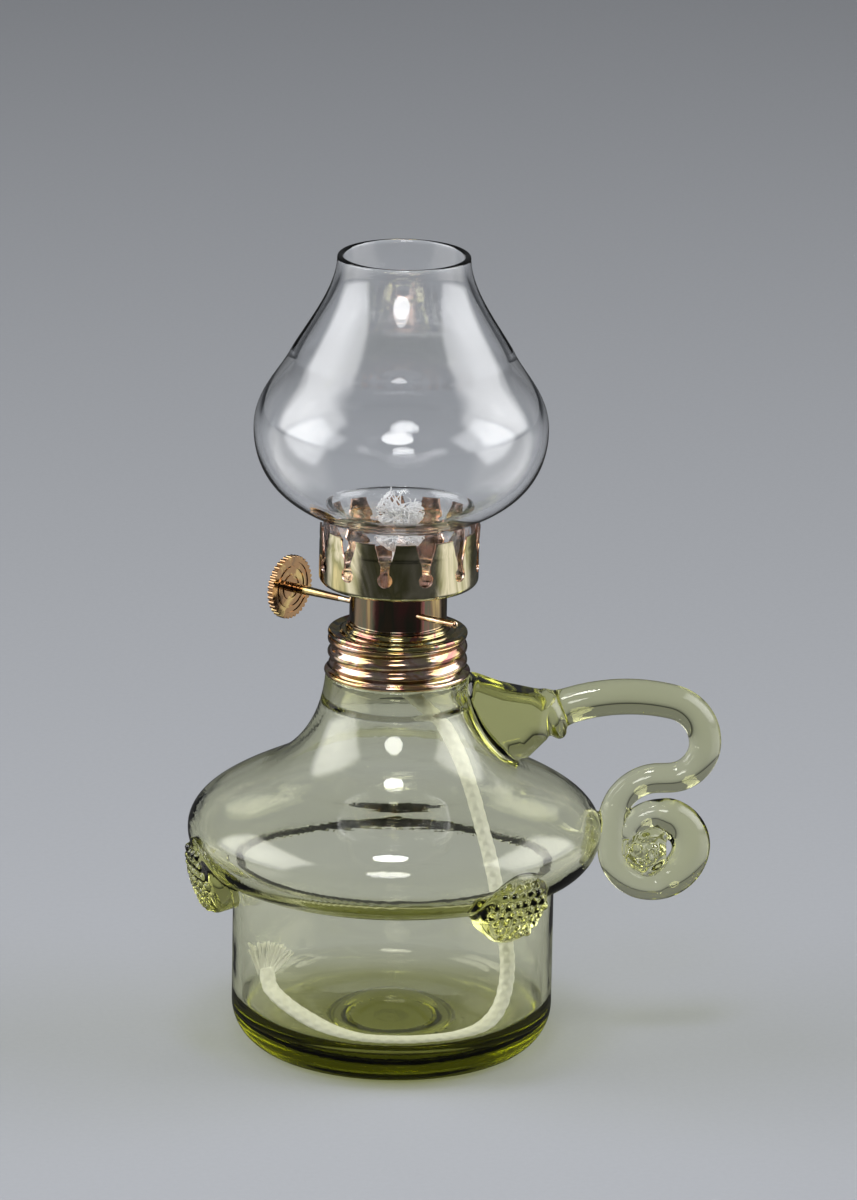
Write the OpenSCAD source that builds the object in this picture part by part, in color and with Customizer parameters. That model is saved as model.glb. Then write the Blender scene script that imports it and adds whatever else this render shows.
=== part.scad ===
// Miniature kerosene finger lamp: blown glass fount with an applied scroll handle,
// a screw burner with a pronged gallery, a round wick with its feed shaft, and an onion chimney.
// The lamp stands on z = 0, its axis is the Z axis and the handle points along +X.

/* [Fount] */
// Outer diameter of the cylindrical foot
base_d = 66.2; // [56:0.1:76]
// Radius of the rounded corner under the foot
corner_r = 9.5; // [6:0.1:12]
// Height of the fold where the foot meets the bulge
fold_z = 37.6; // [32:0.1:42]
// Outer diameter of the bulge
bulge_d = 85.2; // [80:0.1:96]
// Height of the widest line of the bulge
bulge_z = 46.4; // [44:0.1:52]
// Outer diameter of the neck under the collar
neck_d = 29.4; // [28:0.1:33]
// Height of the ledge that the collar stands on
neck_z = 79.8; // [74:0.1:88]
// Thickness of the blown wall
glass_wall = 2.4; // [1.6:0.1:3.2]
// Thickness of the floor at its lowest ring
floor_t = 7.0; // [4:0.1:9]
// Height of the mound in the middle of the floor
mound_h = 3.6; // [1:0.1:6]
// Radius of the rounded corner between floor and wall
floor_round_r = 5; // [3:0.1:7]
// Mean diameter of the ring left under the foot by the glassmaker's rod
pontil_d = 20; // [14:0.5:28]
// Width of that ring
pontil_w = 4; // [2:0.1:6]
// Depth of that ring
pontil_h = 0.9; // [0.3:0.1:2]
// Outer diameter of the glass mouth inside the collar
mouth_d = 24.2; // [22:0.1:24.6]
// Height of the glass mouth above the ledge
mouth_h = 3.8; // [2.5:0.1:4.2]

/* [Handle] */
// Diameter of the glass rod
rod_d = 6.4; // [5:0.1:7.6]
// Mean radius of the lower scroll
scroll_r = 8.7; // [8:0.1:11]
// Mean radius of the scroll where it closes over the top
scroll_top_r = 7.3; // [6.8:0.1:8]
// Length of the upright stretch that lies against the bulge
upright_l = 5.4; // [2:0.1:9]
// Mean radius of the reversed bend above the scroll
swan_r = 9.3; // [8.5:0.1:12]
// Length of the level stretch between the two bends
level_l = 2.4; // [0.5:0.1:5]
// Mean radius of the outer bend in its lower quarter
grip_low_r = 7.3; // [6:0.1:9]
// Mean radius of the outer bend in its upper part
grip_top_r = 9.4; // [8:0.1:11]
// Mean radius of the arch towards the neck
arch_r = 40; // [36:0.5:60]
// Distance from the lamp axis to the face where the rod leaves its gather
root_x = 31.8; // [30:0.1:34]
// Radius of the lump of twisted glass that fills the scroll
twist_r = 5.2; // [4.6:0.1:5.6]
// Thickness of that lump from front to back
twist_t = 7; // [6.6:0.1:8]
// Width of the gather that fuses the rod to the neck
gather_w = 12.5; // [9:0.1:16]

/* [Prunts] */
// Diameter of each raspberry prunt
prunt_d = 16.4; // [13:0.1:17]
// How far a prunt stands out from its seat
prunt_h = 3.6; // [2.5:0.1:5]
// Diameter of one berry
berry_d = 2.2; // [1.6:0.1:2.4]
// Lean of the prunt's face towards the table, in degrees
prunt_tilt = 14; // [0:1:30]

/* [Collar and burner] */
// Thickness of the burner's sheet metal
sheet_t = 0.5; // [0.3:0.05:0.6]
// Height of the collar
collar_h = 8.2; // [7.4:0.1:10]
// Outer diameter over the rolled thread of the collar
collar_d = 28.7; // [28.3:0.1:30]
// Diameter of the lip at the foot of the collar
collar_lip_d = 30; // [29.6:0.1:32]
// Pitch of the rolled thread
thread_pitch = 2.85; // [2.4:0.05:3.1]
// How far the burner's screw shell reaches down into the collar
shell_h = 3.8; // [2.5:0.1:4.2]
// Height by which the deck climbs from its rim to the drum
deck_rise = 2.4; // [1.2:0.1:4]
// Outer diameter of the drum
drum_d = 20; // [18:0.1:21.5]
// Height of the drum
drum_h = 8.8; // [7.5:0.1:12]
// Height of the prong tips above the gallery floor
gallery_h = 11.7; // [10:0.1:14]
// Number of prongs
prongs = 12; // [8:1:14]
// Diameter of the round foot of each slot
slot_hole_d = 3.1; // [2:0.1:3.6]
// Width of a slot above its round foot
slot_neck_w = 1.8; // [1:0.1:2.4]
// Width of a slot at the prong tips
slot_top_w = 4.3; // [3:0.1:5]
// Diameter of each air hole in the gallery floor
air_hole_d = 1.5; // [0.8:0.1:1.8]
// Bore of the wick tube
tube_bore = 3.8; // [3.4:0.1:4.4]
// How far the wick tube hangs below the deck
tube_drop = 7.4; // [5:0.1:9]
// How far the wick tube stands above the gallery floor
tube_rise = 1.8; // [1:0.1:3]

/* [Wick feed] */
// Diameter of the wick
wick_d = 3.0; // [2.6:0.1:3.2]
// Diameter of the shaft
shaft_d = 1.1; // [0.9:0.1:1.4]
// Distance from the lamp axis to the shaft
shaft_offset = 4.6; // [4.3:0.1:5.4]
// Height of the shaft above the foot of the drum
shaft_h = 4.1; // [3.8:0.1:5.2]
// Distance along the shaft from the lamp axis to the thumb wheel
wheel_reach = 24.6; // [20:0.1:30]
// Distance along the shaft from the lamp axis to its far tip
tip_reach = 18; // [14:0.1:22]
// Diameter of the thumb wheel
wheel_d = 13.3; // [10:0.1:16]
// Thickness of the thumb wheel's web
wheel_t = 0.9; // [0.6:0.1:1.5]
// Number of knurls on the thumb wheel
knurls = 36; // [20:1:40]
// Number of teeth on the feed wheel
feed_teeth = 12; // [8:1:16]

/* [Chimney] */
// Outer diameter of the glass that stands in the gallery
fitter_d = 31; // [30.6:0.1:34]
// Height of the straight fitter
fitter_h = 13.5; // [12:0.1:17]
// Outer diameter of the chimney's bulge
chimney_d = 60.2; // [52:0.1:70]
// Height of the widest line above the chimney's foot
chimney_bulge_h = 32.3; // [28:0.1:36]
// Height of the chimney
chimney_h = 68.5; // [62:0.1:80]
// Outer diameter of the chimney's top
chimney_top_d = 27.2; // [24:0.1:32]
// Wall of the chimney
chimney_wall = 1.3; // [0.9:0.1:1.6]

/* [Hidden] */
$fn = 96;

// Radial clearances
turn_gap = 0.05;
slip_gap = 0.35;
tooth_gap = 0.13;
// How deep hot glass sinks into the bulge where it is pressed on
bite = 0.3;

base_r = base_d / 2;
bulge_r = bulge_d / 2;
neck_r = neck_d / 2;
rod_r = rod_d / 2;

// The shoulder's curve turns over at this share of its width and height
knee_in = 0.47;
knee_up = 0.38;
knee_r = neck_r + knee_in * (bulge_r - neck_r);
knee_z = bulge_z + knee_up * (neck_z - bulge_z);

// Heights, one standing on the other
deck_z = neck_z + collar_h;
drum_z = deck_z + deck_rise;
floor_z = drum_z + drum_h;
seat_z = floor_z + sheet_t;
prong_z = seat_z + gallery_h;
shaft_z = drum_z + shaft_h;
chimney_z = seat_z + chimney_h;
tube_low_z = drum_z - tube_drop;
tube_top_z = seat_z + tube_rise;

drum_r = drum_d / 2;
collar_r = collar_d / 2;
collar_bore = collar_r - 1.0;
shell_r = collar_bore - slip_gap;
fitter_r = fitter_d / 2;
cup_r = fitter_r + slip_gap;
tube_r = tube_bore / 2 + 0.4;
wick_r = wick_d / 2;
shaft_r = shaft_d / 2;
feed_r = shaft_offset - wick_r - tooth_gap;
feed_t = 1.0;
feed_slot = 1.6;

// The shaft lies level and heads this way, seen from above
shaft_turn = -45;
// One slot's middle, seen from above
slot_turn = -48;
// Each prunt's turn round the fount, and how far it rides above the others
prunt_places = [[188, 0.9], [-60, 1.7]];

// The wick's lower end stops here, clear of the tail's upper end at its lowest travel
wick_low_z = tube_low_z + 6.2;
// The frayed crown starts this far above the tube
crown_z = tube_top_z + 4.8;
crown_h = 13;
crown_r = 5.4;

// Middle line of the free wick, from the tube down the right wall and round the floor
tail_pts = [
    [0, 0, 84.2], [0, 0, 82.4], [0.8, -0.7, 80], [2.6, -2.2, 77.4], [5.2, -4.4, 74.6], [8.4, -7, 70.6],
    [11.2, -9.4, 65], [13.6, -11.6, 58.4], [15.8, -13.6, 51], [17.6, -15.6, 44], [19, -17.4, 37],
    [20, -18.8, 30], [20.6, -19.8, 23.6], [20.2, -20.4, 18], [18.4, -21.8, 13.4], [14.6, -24, 10.4],
    [9.4, -25.2, 9], [3.4, -26.2, 8.7], [-3, -26.2, 8.7], [-9.4, -24.8, 9], [-15, -22.2, 10.2],
    [-20.2, -18.6, 12.4], [-24.2, -14.6, 14.6], [-26.2, -10.8, 16.4], [-26.7, -8.6, 19.4]
];
tail_sides = 8;
fringe_h = 6;
fringe_r = 3.2;
// The fringe points this way, up along the wall
fringe_way = [0.25, 0.3, 1];

// Points on a cubic curve, without its first point
function bezier(p, n) = [
    for (i = [1 : n]) let (t = i / n, u = 1 - t)
        u*u*u * p[0] + 3*u*u*t * p[1] + 3*u*t*t * p[2] + t*t*t * p[3]
];

// Points on an arc of an ellipse about c, from angle a to angle b
function arc(c, rx, rz, a, b, n) = [
    for (i = [0 : n]) let (t = a + (b - a) * i / n) [c[0] + rx * cos(t), c[1] + rz * sin(t)]
];

// Side line of the fount from the fold to the neck, drawn in by a wall of w
function fount_side(w) = let (
    br = bulge_r - w,
    fz = fold_z + w,
    kr = knee_r - 0.45 * w,
    kz = knee_z - 0.9 * w,
    nr = neck_r - w,
    run_r = kr - nr,
    run_z = neck_z - kz
) concat(
    arc([base_r - w, bulge_z], br - base_r + w, bulge_z - fz, -90, 0, 10),
    bezier([[br, bulge_z], [br, bulge_z + 0.44 * (kz - bulge_z)],
        [kr + 0.58 * (br - kr), kz - 0.33 * (kz - bulge_z)], [kr, kz]], 8),
    bezier([[kr, kz], [kr - 0.57 * run_r, kz + 0.17 * run_z],
        [nr + 0.05 * run_r, kz + 0.51 * run_z], [nr, neck_z]], 9)
);

// Outer and inner line of the foot
function foot_line() = concat(
    [[0, 0]],
    arc([pontil_d / 2, 0], pontil_w / 2, pontil_h, 180, 0, 6),
    arc([base_r - corner_r, corner_r], corner_r, corner_r, -90, 0, 8)
);
function floor_line() = let (
    top = floor_t + mound_h,
    flat_r = base_r - glass_wall - floor_round_r
) concat(
    [[0, top]],
    bezier([[0, top], [0.3 * flat_r, top], [0.48 * flat_r, floor_t], [flat_r, floor_t]], 8),
    arc([flat_r, floor_t + floor_round_r], floor_round_r, floor_round_r, -90, 0, 6)
);

// Inner line above the floor, held in under the mouth so that the collar's ledge stays thick
mouth_r = mouth_d / 2;
mouth_cone_h = 6;
mouth_cone = 0.45;
function held_in(p) = p[1] < neck_z - mouth_cone_h ? p
    : [min(p[0], mouth_r - glass_wall + mouth_cone * (neck_z - p[1])), p[1]];
function inner_side() = [for (p = fount_side(glass_wall)) held_in(p)];
function backwards(p) = [for (i = [len(p) - 1 : -1 : 0]) p[i]];

// Side line of the chimney from the fitter to the rim, drawn in by a wall of w
chimney_neck_z = seat_z + fitter_h;
chimney_bulge_z = seat_z + chimney_bulge_h;
function chimney_side(w) = let (
    fr = fitter_r - w,
    fz = chimney_neck_z + 0.9 * w,
    br = chimney_d / 2 - w,
    bz = chimney_bulge_z,
    tr = chimney_top_d / 2 - w,
    tz = chimney_z - chimney_wall / 2,
    up = tz - bz,
    kr = tr + 0.58 * (br - tr) - 0.3 * w,
    kz = bz + 0.42 * up - 0.4 * w
) concat(
    [[fr, fz]],
    bezier([[fr, fz], [fr + 0.51 * (br - fr), fz + 0.16 * (bz - fz)],
        [br, fz + 0.42 * (bz - fz)], [br, bz]], 10),
    bezier([[br, bz], [br, bz + 0.43 * (kz - bz)],
        [kr + 0.33 * (br - kr), bz + 0.7 * (kz - bz)], [kr, kz]], 8),
    bezier([[kr, kz], [kr - 0.28 * (kr - tr), kz + 0.25 * (tz - kz)],
        [tr, kz + 0.66 * (tz - kz)], [tr, tz]], 9)
);

// The handle's bends, each starting where the one before ends
upright_x = bulge_r + rod_r - bite;
scroll_c = [upright_x + scroll_r, bulge_z - upright_l];
close_c = [upright_x + 2 * scroll_r - scroll_top_r, scroll_c[1]];
// The rod's tip turns down in a wider bend, and ends in the side of the upright stretch
hook_gap = 2 * scroll_r - scroll_top_r - rod_r;
hook_r = hook_gap + 1.1;
hook_end = acos(-hook_gap / hook_r);
hook_c = [close_c[0], close_c[1] + scroll_top_r - hook_r];
// How deep the lump of twisted glass sinks into the upright stretch of rod
twist_bite = 1.4;
twist_c = [upright_x + rod_r + twist_r - twist_bite, scroll_c[1] - 0.4];
swan_c = [upright_x + swan_r, bulge_z];
grip_low_c = [swan_c[0] + level_l, bulge_z + swan_r + grip_low_r];
grip_top_c = [grip_low_c[0] + grip_low_r - grip_top_r, grip_low_c[1]];
arch_end = 75;
arch_foot = grip_top_c + grip_top_r * [cos(arch_end), sin(arch_end)];
// A faint swelling where the arch begins, so that it fuses with the bend before it
swelling = 0.1;
arch_c = grip_top_c + (grip_top_r - arch_r) * [cos(arch_end), sin(arch_end)];
arch_start = acos((root_x - arch_c[0]) / arch_r);
root_c = arch_c + arch_r * [cos(arch_start), sin(arch_start)];
root_up = [cos(arch_start), sin(arch_start)];

// Mean radius at which a prunt is seated, and the height of its middle
prunt_seat_r = bulge_r - 3.0;
prunt_z = bulge_z - 8.2;

// Sweeps a many-sided tube of radius r along points
function unit(v) = v / norm(v);
function heading(p, i) = unit(p[min(i + 1, len(p) - 1)] - p[max(i - 1, 0)]);
function side_of(p, i) = i == 0 ? unit(cross(heading(p, 0), [0.3, 1, 0.2]))
    : let (h = heading(p, i), s = side_of(p, i - 1)) unit(s - (s * h) * h);
module tube_along(p, r, sides) {
    rings = [
        for (i = [0 : len(p) - 1]) let (h = heading(p, i), u = side_of(p, i), v = cross(h, u))
            for (k = [0 : sides - 1]) p[i] + r * (cos(360 * k / sides) * u + sin(360 * k / sides) * v)
    ];
    last = (len(p) - 1) * sides;
    walls = [
        for (i = [0 : len(p) - 2]) for (k = [0 : sides - 1])
            let (a = i * sides + k, b = i * sides + (k + 1) % sides)
                each [[b + sides, b, a], [a + sides, b + sides, a]]
    ];
    ends = [
        for (k = [1 : sides - 2]) each [[k, k + 1, 0], [last + k + 1, last + k, last]]
    ];
    polyhedron(rings, concat(walls, ends));
}

// Lays its children's Z axis along the shaft, with z = 0 level with the lamp's axis
module on_shaft() {
    rotate([0, 0, shaft_turn]) translate([0, -shaft_offset, shaft_z]) rotate([0, 90, 0]) children();
}

// A stretch of glass rod bent round c in the plane of the handle, from angle a to angle b
module bend(c, r, a, b) {
    translate([c[0], 0, c[1]]) rotate([90, 0, 0]) rotate([0, 0, a])
        rotate_extrude(angle = b - a) translate([r, 0]) circle(r = rod_r, $fn = 48);
}

module fount_solid() {
    rotate_extrude() polygon(concat(
        foot_line(), fount_side(0), [[0, neck_z]]
    ));
}

module fount() {
    color([0.42, 0.46, 0.24, 0.55]) rotate_extrude() polygon(concat(
        foot_line(),
        fount_side(0),
        [[mouth_r, neck_z], [mouth_r, neck_z + mouth_h], [mouth_r - glass_wall, neck_z + mouth_h]],
        backwards(inner_side()),
        backwards(floor_line())
    ));
}

module handle() {
    color([0.5, 0.56, 0.28, 0.7]) difference() {
        union() {
            bend(arch_c, arch_r, arch_end, arch_start);
            translate([arch_foot[0], 0, arch_foot[1]]) sphere(r = rod_r + swelling, $fn = 48);
            bend(grip_top_c, grip_top_r, 0, arch_end);
            bend(grip_low_c, grip_low_r, -90, 0);
            translate([swan_c[0], 0, swan_c[1] + swan_r]) rotate([0, 90, 0])
                cylinder(h = level_l, r = rod_r, $fn = 48);
            bend(swan_c, swan_r, 90, 180);
            translate([upright_x, 0, scroll_c[1]]) cylinder(h = upright_l, r = rod_r, $fn = 48);
            bend(scroll_c, scroll_r, 180, 360);
            bend(close_c, scroll_top_r, 0, 90);
            bend(hook_c, hook_r, 90, hook_end);
            translate([upright_x + rod_r, 0, hook_c[1] + hook_r * sin(hook_end)])
                sphere(r = rod_r + swelling, $fn = 48);
            translate([twist_c[0], 0, twist_c[1]]) intersection() {
                sphere(r = twist_r, $fn = 48);
                cube([2 * twist_r + 1, twist_t, 2 * twist_r + 1], center = true);
            }
        }
        fount_solid();
    }
}

module handle_gather() {
    top = root_c + (rod_r + 1.0) * root_up;
    low = root_c - (rod_r + 1.0) * root_up;
    outline = [
        [neck_r - 3, neck_z - 0.8],
        [neck_r + 1.6, neck_z - 0.8],
        [neck_r + 0.62 * (root_x - neck_r), top[1] + 0.2],
        top,
        low,
        [low[0] - 1.6, knee_z - 2],
        [neck_r - 3, knee_z - 2]
    ];
    color([0.56, 0.6, 0.2, 0.7]) difference() {
        intersection() {
            translate([0, gather_w / 2, 0]) rotate([90, 0, 0]) linear_extrude(gather_w) polygon(outline);
            union() {
                translate([0, 0, neck_z - 0.8 - gather_w / 2]) rotate([0, 90, 0])
                    cylinder(h = root_x + 10, r = gather_w / 2, $fn = 64);
                translate([0, -gather_w / 2, knee_z - 4])
                    cube([root_x + 10, gather_w, neck_z - 0.8 - gather_w / 2 - knee_z + 4]);
            }
        }
        fount_solid();
    }
}

// One raspberry prunt, pressed on where the bulge turns under
module prunt(place) {
    berries = concat(
        [[0, 0]],
        [for (k = [0 : 6]) [0.36 * prunt_d / 2, 360 / 7 * k]],
        [for (k = [0 : 12]) [0.7 * prunt_d / 2, 360 / 13 * k + 12]]
    );
    rim_r = prunt_d / 2;
    dome_r = (rim_r * rim_r + prunt_h * prunt_h * 0.36) / (2 * prunt_h * 0.6);
    color([0.62, 0.64, 0.25, 0.75]) difference() {
        rotate([0, 0, place[0]]) translate([prunt_seat_r, 0, prunt_z + place[1]]) rotate([0, 90 + prunt_tilt, 0]) union() {
            rotate_extrude($fn = 64) polygon(concat(
                [[0, -4]],
                [[rim_r - 1.2, -4], [rim_r, -1.2]],
                [for (i = [0 : 7]) let (x = rim_r * (1 - i / 7))
                    [x, prunt_h * 0.4 + sqrt(dome_r * dome_r - x * x) - dome_r + prunt_h * 0.6]]
            ));
            for (b = berries)
                rotate([0, 0, b[1]]) translate([b[0], 0, prunt_h - b[0] * b[0] / (2 * dome_r)])
                    sphere(d = berry_d, $fn = 24);
        }
        fount_solid();
    }
}

module collar() {
    bead = 0.28 * thread_pitch;
    top_bead = 1.2;
    lip_r = 0.55;
    lip_x = collar_lip_d / 2 - lip_r;
    color([0.72, 0.6, 0.38]) rotate_extrude() union() {
        difference() {
            union() {
                translate([collar_bore, neck_z]) square([sheet_t, collar_h]);
                for (i = [0 : 1])
                    translate([collar_r - bead, deck_z - top_bead - thread_pitch * i])
                        circle(r = bead, $fn = 32);
                translate([collar_bore, neck_z]) square([lip_x - collar_bore, lip_r + 0.35]);
                translate([lip_x, neck_z + lip_r]) circle(r = lip_r, $fn = 32);
            }
            translate([0, neck_z - 5]) square([collar_bore, collar_h + 10]);
        }
    }
}

module collar_cement() {
    color([0.86, 0.84, 0.78]) difference() {
        translate([0, 0, neck_z]) cylinder(h = mouth_h - 0.2, r = collar_bore);
        translate([0, 0, neck_z - 1]) cylinder(h = mouth_h + 2, d = mouth_d);
    }
}

module burner_base() {
    rim = 0.6;
    rim_r = collar_r - rim;
    deck_low = deck_z + sheet_t;
    color([0.78, 0.66, 0.4]) difference() {
        rotate_extrude() union() {
            translate([rim_r, deck_z + rim]) circle(r = rim, $fn = 32);
            polygon([
                [shell_r - sheet_t, deck_z - shell_h], [shell_r, deck_z - shell_h], [shell_r, deck_z],
                [rim_r, deck_z], [rim_r, deck_low], [shell_r - 0.4, deck_low],
                [drum_r + 0.7, drum_z], [tube_r, drum_z], [tube_r, drum_z - sheet_t],
                [drum_r + 0.5, drum_z - sheet_t], [shell_r - sheet_t, deck_z - 0.1]
            ]);
        }
        translate([-drum_r + 3, 0, drum_z - 2]) cylinder(h = 4, d = 1.6, $fn = 32);
    }
}

module drum() {
    color([0.62, 0.58, 0.42]) difference() {
        translate([0, 0, drum_z]) union() {
            cylinder(h = drum_h, r = drum_r);
            cylinder(h = 0.6, r = drum_r + 0.45);
        }
        translate([0, 0, drum_z - 1]) cylinder(h = drum_h + 2, r = drum_r - sheet_t);
        on_shaft() cylinder(h = 2 * drum_r + 4, r = shaft_r + turn_gap, center = true, $fn = 32);
    }
}

module air_plate() {
    holes = 10;
    plate_r = drum_r - sheet_t;
    color([0.7, 0.62, 0.42]) difference() {
        translate([0, 0, floor_z - sheet_t]) cylinder(h = sheet_t, r = plate_r);
        translate([0, 0, floor_z - 2]) cylinder(h = 4, r = tube_r);
        for (k = [0 : holes - 1])
            rotate([0, 0, 360 / holes * k]) translate([(plate_r + tube_r) / 2, 0, floor_z - 2])
                cylinder(h = 4, d = air_hole_d, $fn = 32);
    }
}

module wick_tube() {
    color([0.74, 0.62, 0.36]) difference() {
        translate([0, 0, tube_low_z]) cylinder(h = tube_top_z - tube_low_z, r = tube_r, $fn = 64);
        translate([0, 0, tube_low_z - 1]) cylinder(h = tube_top_z - tube_low_z + 2, d = tube_bore, $fn = 64);
        rotate([0, 0, shaft_turn]) translate([-feed_slot / 2, -tube_r - 1, shaft_z - feed_r - 0.2])
            cube([feed_slot, tube_r + 1, 2 * feed_r + 0.4]);
    }
}

// Cup with keyhole slots that part its wall into springy prongs
module gallery() {
    out_r = cup_r + sheet_t;
    corner = 1.0;
    in_corner = corner - sheet_t;
    hole_z = seat_z + 4.2;
    neck_top = hole_z + slot_hole_d / 2 + 1.2;
    groove_z = seat_z + 8.8;
    neck_x = slot_neck_w / 2;
    top_x = slot_top_w / 2;
    air_holes = 20;
    air_r = (drum_r + fitter_r - chimney_wall) / 2 + 0.2;
    color([0.8, 0.7, 0.45]) difference() {
        rotate_extrude() polygon(concat(
            [[drum_r - sheet_t, floor_z]],
            arc([out_r - corner, floor_z + corner], corner, corner, -90, 0, 6),
            [[out_r, groove_z - 0.3], [out_r - 0.12, groove_z], [out_r, groove_z + 0.3]],
            [[out_r, prong_z], [cup_r, prong_z]],
            arc([out_r - corner, floor_z + corner], in_corner, in_corner, 0, -90, 5),
            [[drum_r - sheet_t, seat_z]]
        ));
        for (k = [0 : prongs - 1])
            rotate([0, 0, slot_turn + 360 / prongs * k]) translate([cup_r - 1, 0, 0]) rotate([90, 0, 90])
                linear_extrude(sheet_t + 2) union() {
                    translate([0, hole_z]) circle(d = slot_hole_d, $fn = 32);
                    polygon([
                        [-neck_x, hole_z], [neck_x, hole_z], [neck_x, neck_top],
                        [top_x, prong_z - 0.6], [top_x, prong_z + 1],
                        [-top_x, prong_z + 1], [-top_x, prong_z - 0.6], [-neck_x, neck_top]
                    ]);
                }
        for (k = [0 : air_holes - 1])
            rotate([0, 0, 360 / air_holes * k]) translate([air_r, 0, floor_z - 1])
                cylinder(h = 3, d = air_hole_d, $fn = 24);
    }
}

module thumb_wheel() {
    knurl_r = 0.42;
    rim_t = 1.3;
    mean_r = wheel_d / 2 - knurl_r;
    ferrule_l = wheel_reach - drum_r - 1.6;
    color([0.68, 0.55, 0.32]) on_shaft() translate([0, 0, -wheel_reach]) difference() {
        union() {
            cylinder(h = wheel_t, r = mean_r - 0.5, center = true);
            difference() {
                union() {
                    cylinder(h = rim_t, r = mean_r, center = true);
                    for (k = [0 : knurls - 1])
                        rotate([0, 0, 360 / knurls * k]) translate([mean_r, 0, 0])
                            cylinder(h = rim_t, r = knurl_r, center = true, $fn = 16);
                }
                cylinder(h = rim_t + 1, r = mean_r - 0.9, center = true);
            }
            for (r = [0.4, 0.66])
                difference() {
                    cylinder(h = wheel_t / 2 + 0.2, r = wheel_d / 2 * r);
                    translate([0, 0, -1]) cylinder(h = 4, r = wheel_d / 2 * r - 0.35);
                }
            translate([0, 0, -wheel_t / 2 - 0.5]) cylinder(h = 1, r = 1.3, $fn = 32);
            cylinder(h = ferrule_l, r1 = shaft_r + 0.5, r2 = shaft_r + 0.15, $fn = 48);
        }
        translate([0, 0, -3]) cylinder(h = ferrule_l + 6, r = shaft_r, $fn = 32);
    }
}

module wick_shaft() {
    color([0.75, 0.68, 0.5]) on_shaft() union() {
        translate([0, 0, -wheel_reach - 1.1])
            cylinder(h = wheel_reach + tip_reach + 1.1, r = shaft_r, $fn = 32);
        translate([0, 0, tip_reach]) sphere(r = shaft_r + 0.2, $fn = 32);
    }
}

module feed_wheel() {
    root_r = feed_r - 0.75;
    hub_l = 3.2;
    color([0.7, 0.62, 0.4]) on_shaft() difference() {
        union() {
            cylinder(h = feed_t, r = root_r, center = true, $fn = 48);
            cylinder(h = hub_l, r = shaft_r + 0.55, center = true, $fn = 32);
            for (k = [0 : feed_teeth - 1])
                rotate([0, 0, 360 / feed_teeth * k]) linear_extrude(feed_t, center = true)
                    polygon([[root_r - 0.3, -0.4], [feed_r, -0.08], [feed_r, 0.08], [root_r - 0.3, 0.4]]);
        }
        cylinder(h = hub_l + 2, r = shaft_r, center = true, $fn = 32);
    }
}

module chimney() {
    outer = chimney_side(0);
    inner = chimney_side(chimney_wall);
    rim_r = chimney_wall / 2;
    color([0.85, 0.9, 0.92, 0.3]) rotate_extrude() polygon(concat(
        [[fitter_r - chimney_wall, seat_z], [fitter_r - 0.35, seat_z], [fitter_r, seat_z + 0.35]],
        outer,
        arc([chimney_top_d / 2 - rim_r, chimney_z - rim_r], rim_r, rim_r, 20, 160, 6),
        backwards(inner)
    ));
}

module wick() {
    color([0.93, 0.92, 0.86]) translate([0, 0, wick_low_z])
        cylinder(h = crown_z - wick_low_z, r = wick_r, $fn = 48);
}

module wick_tuft() {
    color([0.96, 0.95, 0.9]) translate([0, 0, crown_z]) rotate_extrude($fn = 48) polygon([
        [0, 0], [wick_r, 0], [0.6 * crown_r, 0.16 * crown_h], [0.95 * crown_r, 0.42 * crown_h],
        [crown_r, 0.6 * crown_h], [0.85 * crown_r, 0.8 * crown_h], [0.5 * crown_r, 0.95 * crown_h],
        [0, crown_h]
    ]);
}

module wick_tail() {
    color([0.93, 0.92, 0.86]) tube_along(tail_pts, wick_r, tail_sides);
}

module tail_fringe() {
    end = tail_pts[len(tail_pts) - 1];
    h = unit(fringe_way);
    color([0.96, 0.95, 0.9]) translate(end)
        rotate([0, acos(h[2]), atan2(h[1], h[0])])
            cylinder(h = fringe_h, r1 = wick_r, r2 = fringe_r, $fn = 24);
}

fount();
handle();
handle_gather();
prunt(prunt_places[0]);  // prunt_left
prunt(prunt_places[1]);  // prunt_front
collar();
collar_cement();
burner_base();
drum();
air_plate();
wick_tube();
gallery();
thumb_wheel();
wick_shaft();
feed_wheel();
chimney();
wick();
wick_tuft();
wick_tail();
tail_fringe();
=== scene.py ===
"""A miniature kerosene finger lamp: blown green glass, plated sheet metal, a clear chimney and a cotton wick."""

import math

import bpy
import numpy as np
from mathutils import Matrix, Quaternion, Vector


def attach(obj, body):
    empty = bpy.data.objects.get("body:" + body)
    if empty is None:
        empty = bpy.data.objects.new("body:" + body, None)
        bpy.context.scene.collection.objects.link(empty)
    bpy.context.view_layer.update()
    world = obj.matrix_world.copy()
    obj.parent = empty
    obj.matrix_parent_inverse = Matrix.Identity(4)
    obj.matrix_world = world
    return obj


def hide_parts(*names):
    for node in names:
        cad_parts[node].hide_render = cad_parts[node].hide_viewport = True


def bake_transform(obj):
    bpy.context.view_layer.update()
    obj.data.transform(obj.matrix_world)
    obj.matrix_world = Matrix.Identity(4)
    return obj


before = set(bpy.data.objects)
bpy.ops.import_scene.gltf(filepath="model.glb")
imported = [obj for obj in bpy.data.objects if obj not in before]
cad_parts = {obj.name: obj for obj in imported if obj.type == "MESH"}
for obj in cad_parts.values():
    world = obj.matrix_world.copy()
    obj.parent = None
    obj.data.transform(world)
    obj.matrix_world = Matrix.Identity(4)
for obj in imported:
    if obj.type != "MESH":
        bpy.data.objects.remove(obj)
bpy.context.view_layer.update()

MM = 0.001
SEED = 7

# Camera, at the photograph's angle. The image is taken as 857 x 1200 pixels.

IMAGE_SIZE = (857, 1200)
AIM = Vector((0, 0, 0.0865))
AIM_PIXEL = (397.6, 641.0)
CAMERA_DISTANCE = 1.9816
CAMERA_AZIMUTH = math.radians(-8)
CAMERA_ELEVATION = math.radians(16.5)
CAMERA_ROLL = math.radians(1.0)
CAMERA_LENS = 290.0


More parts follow.
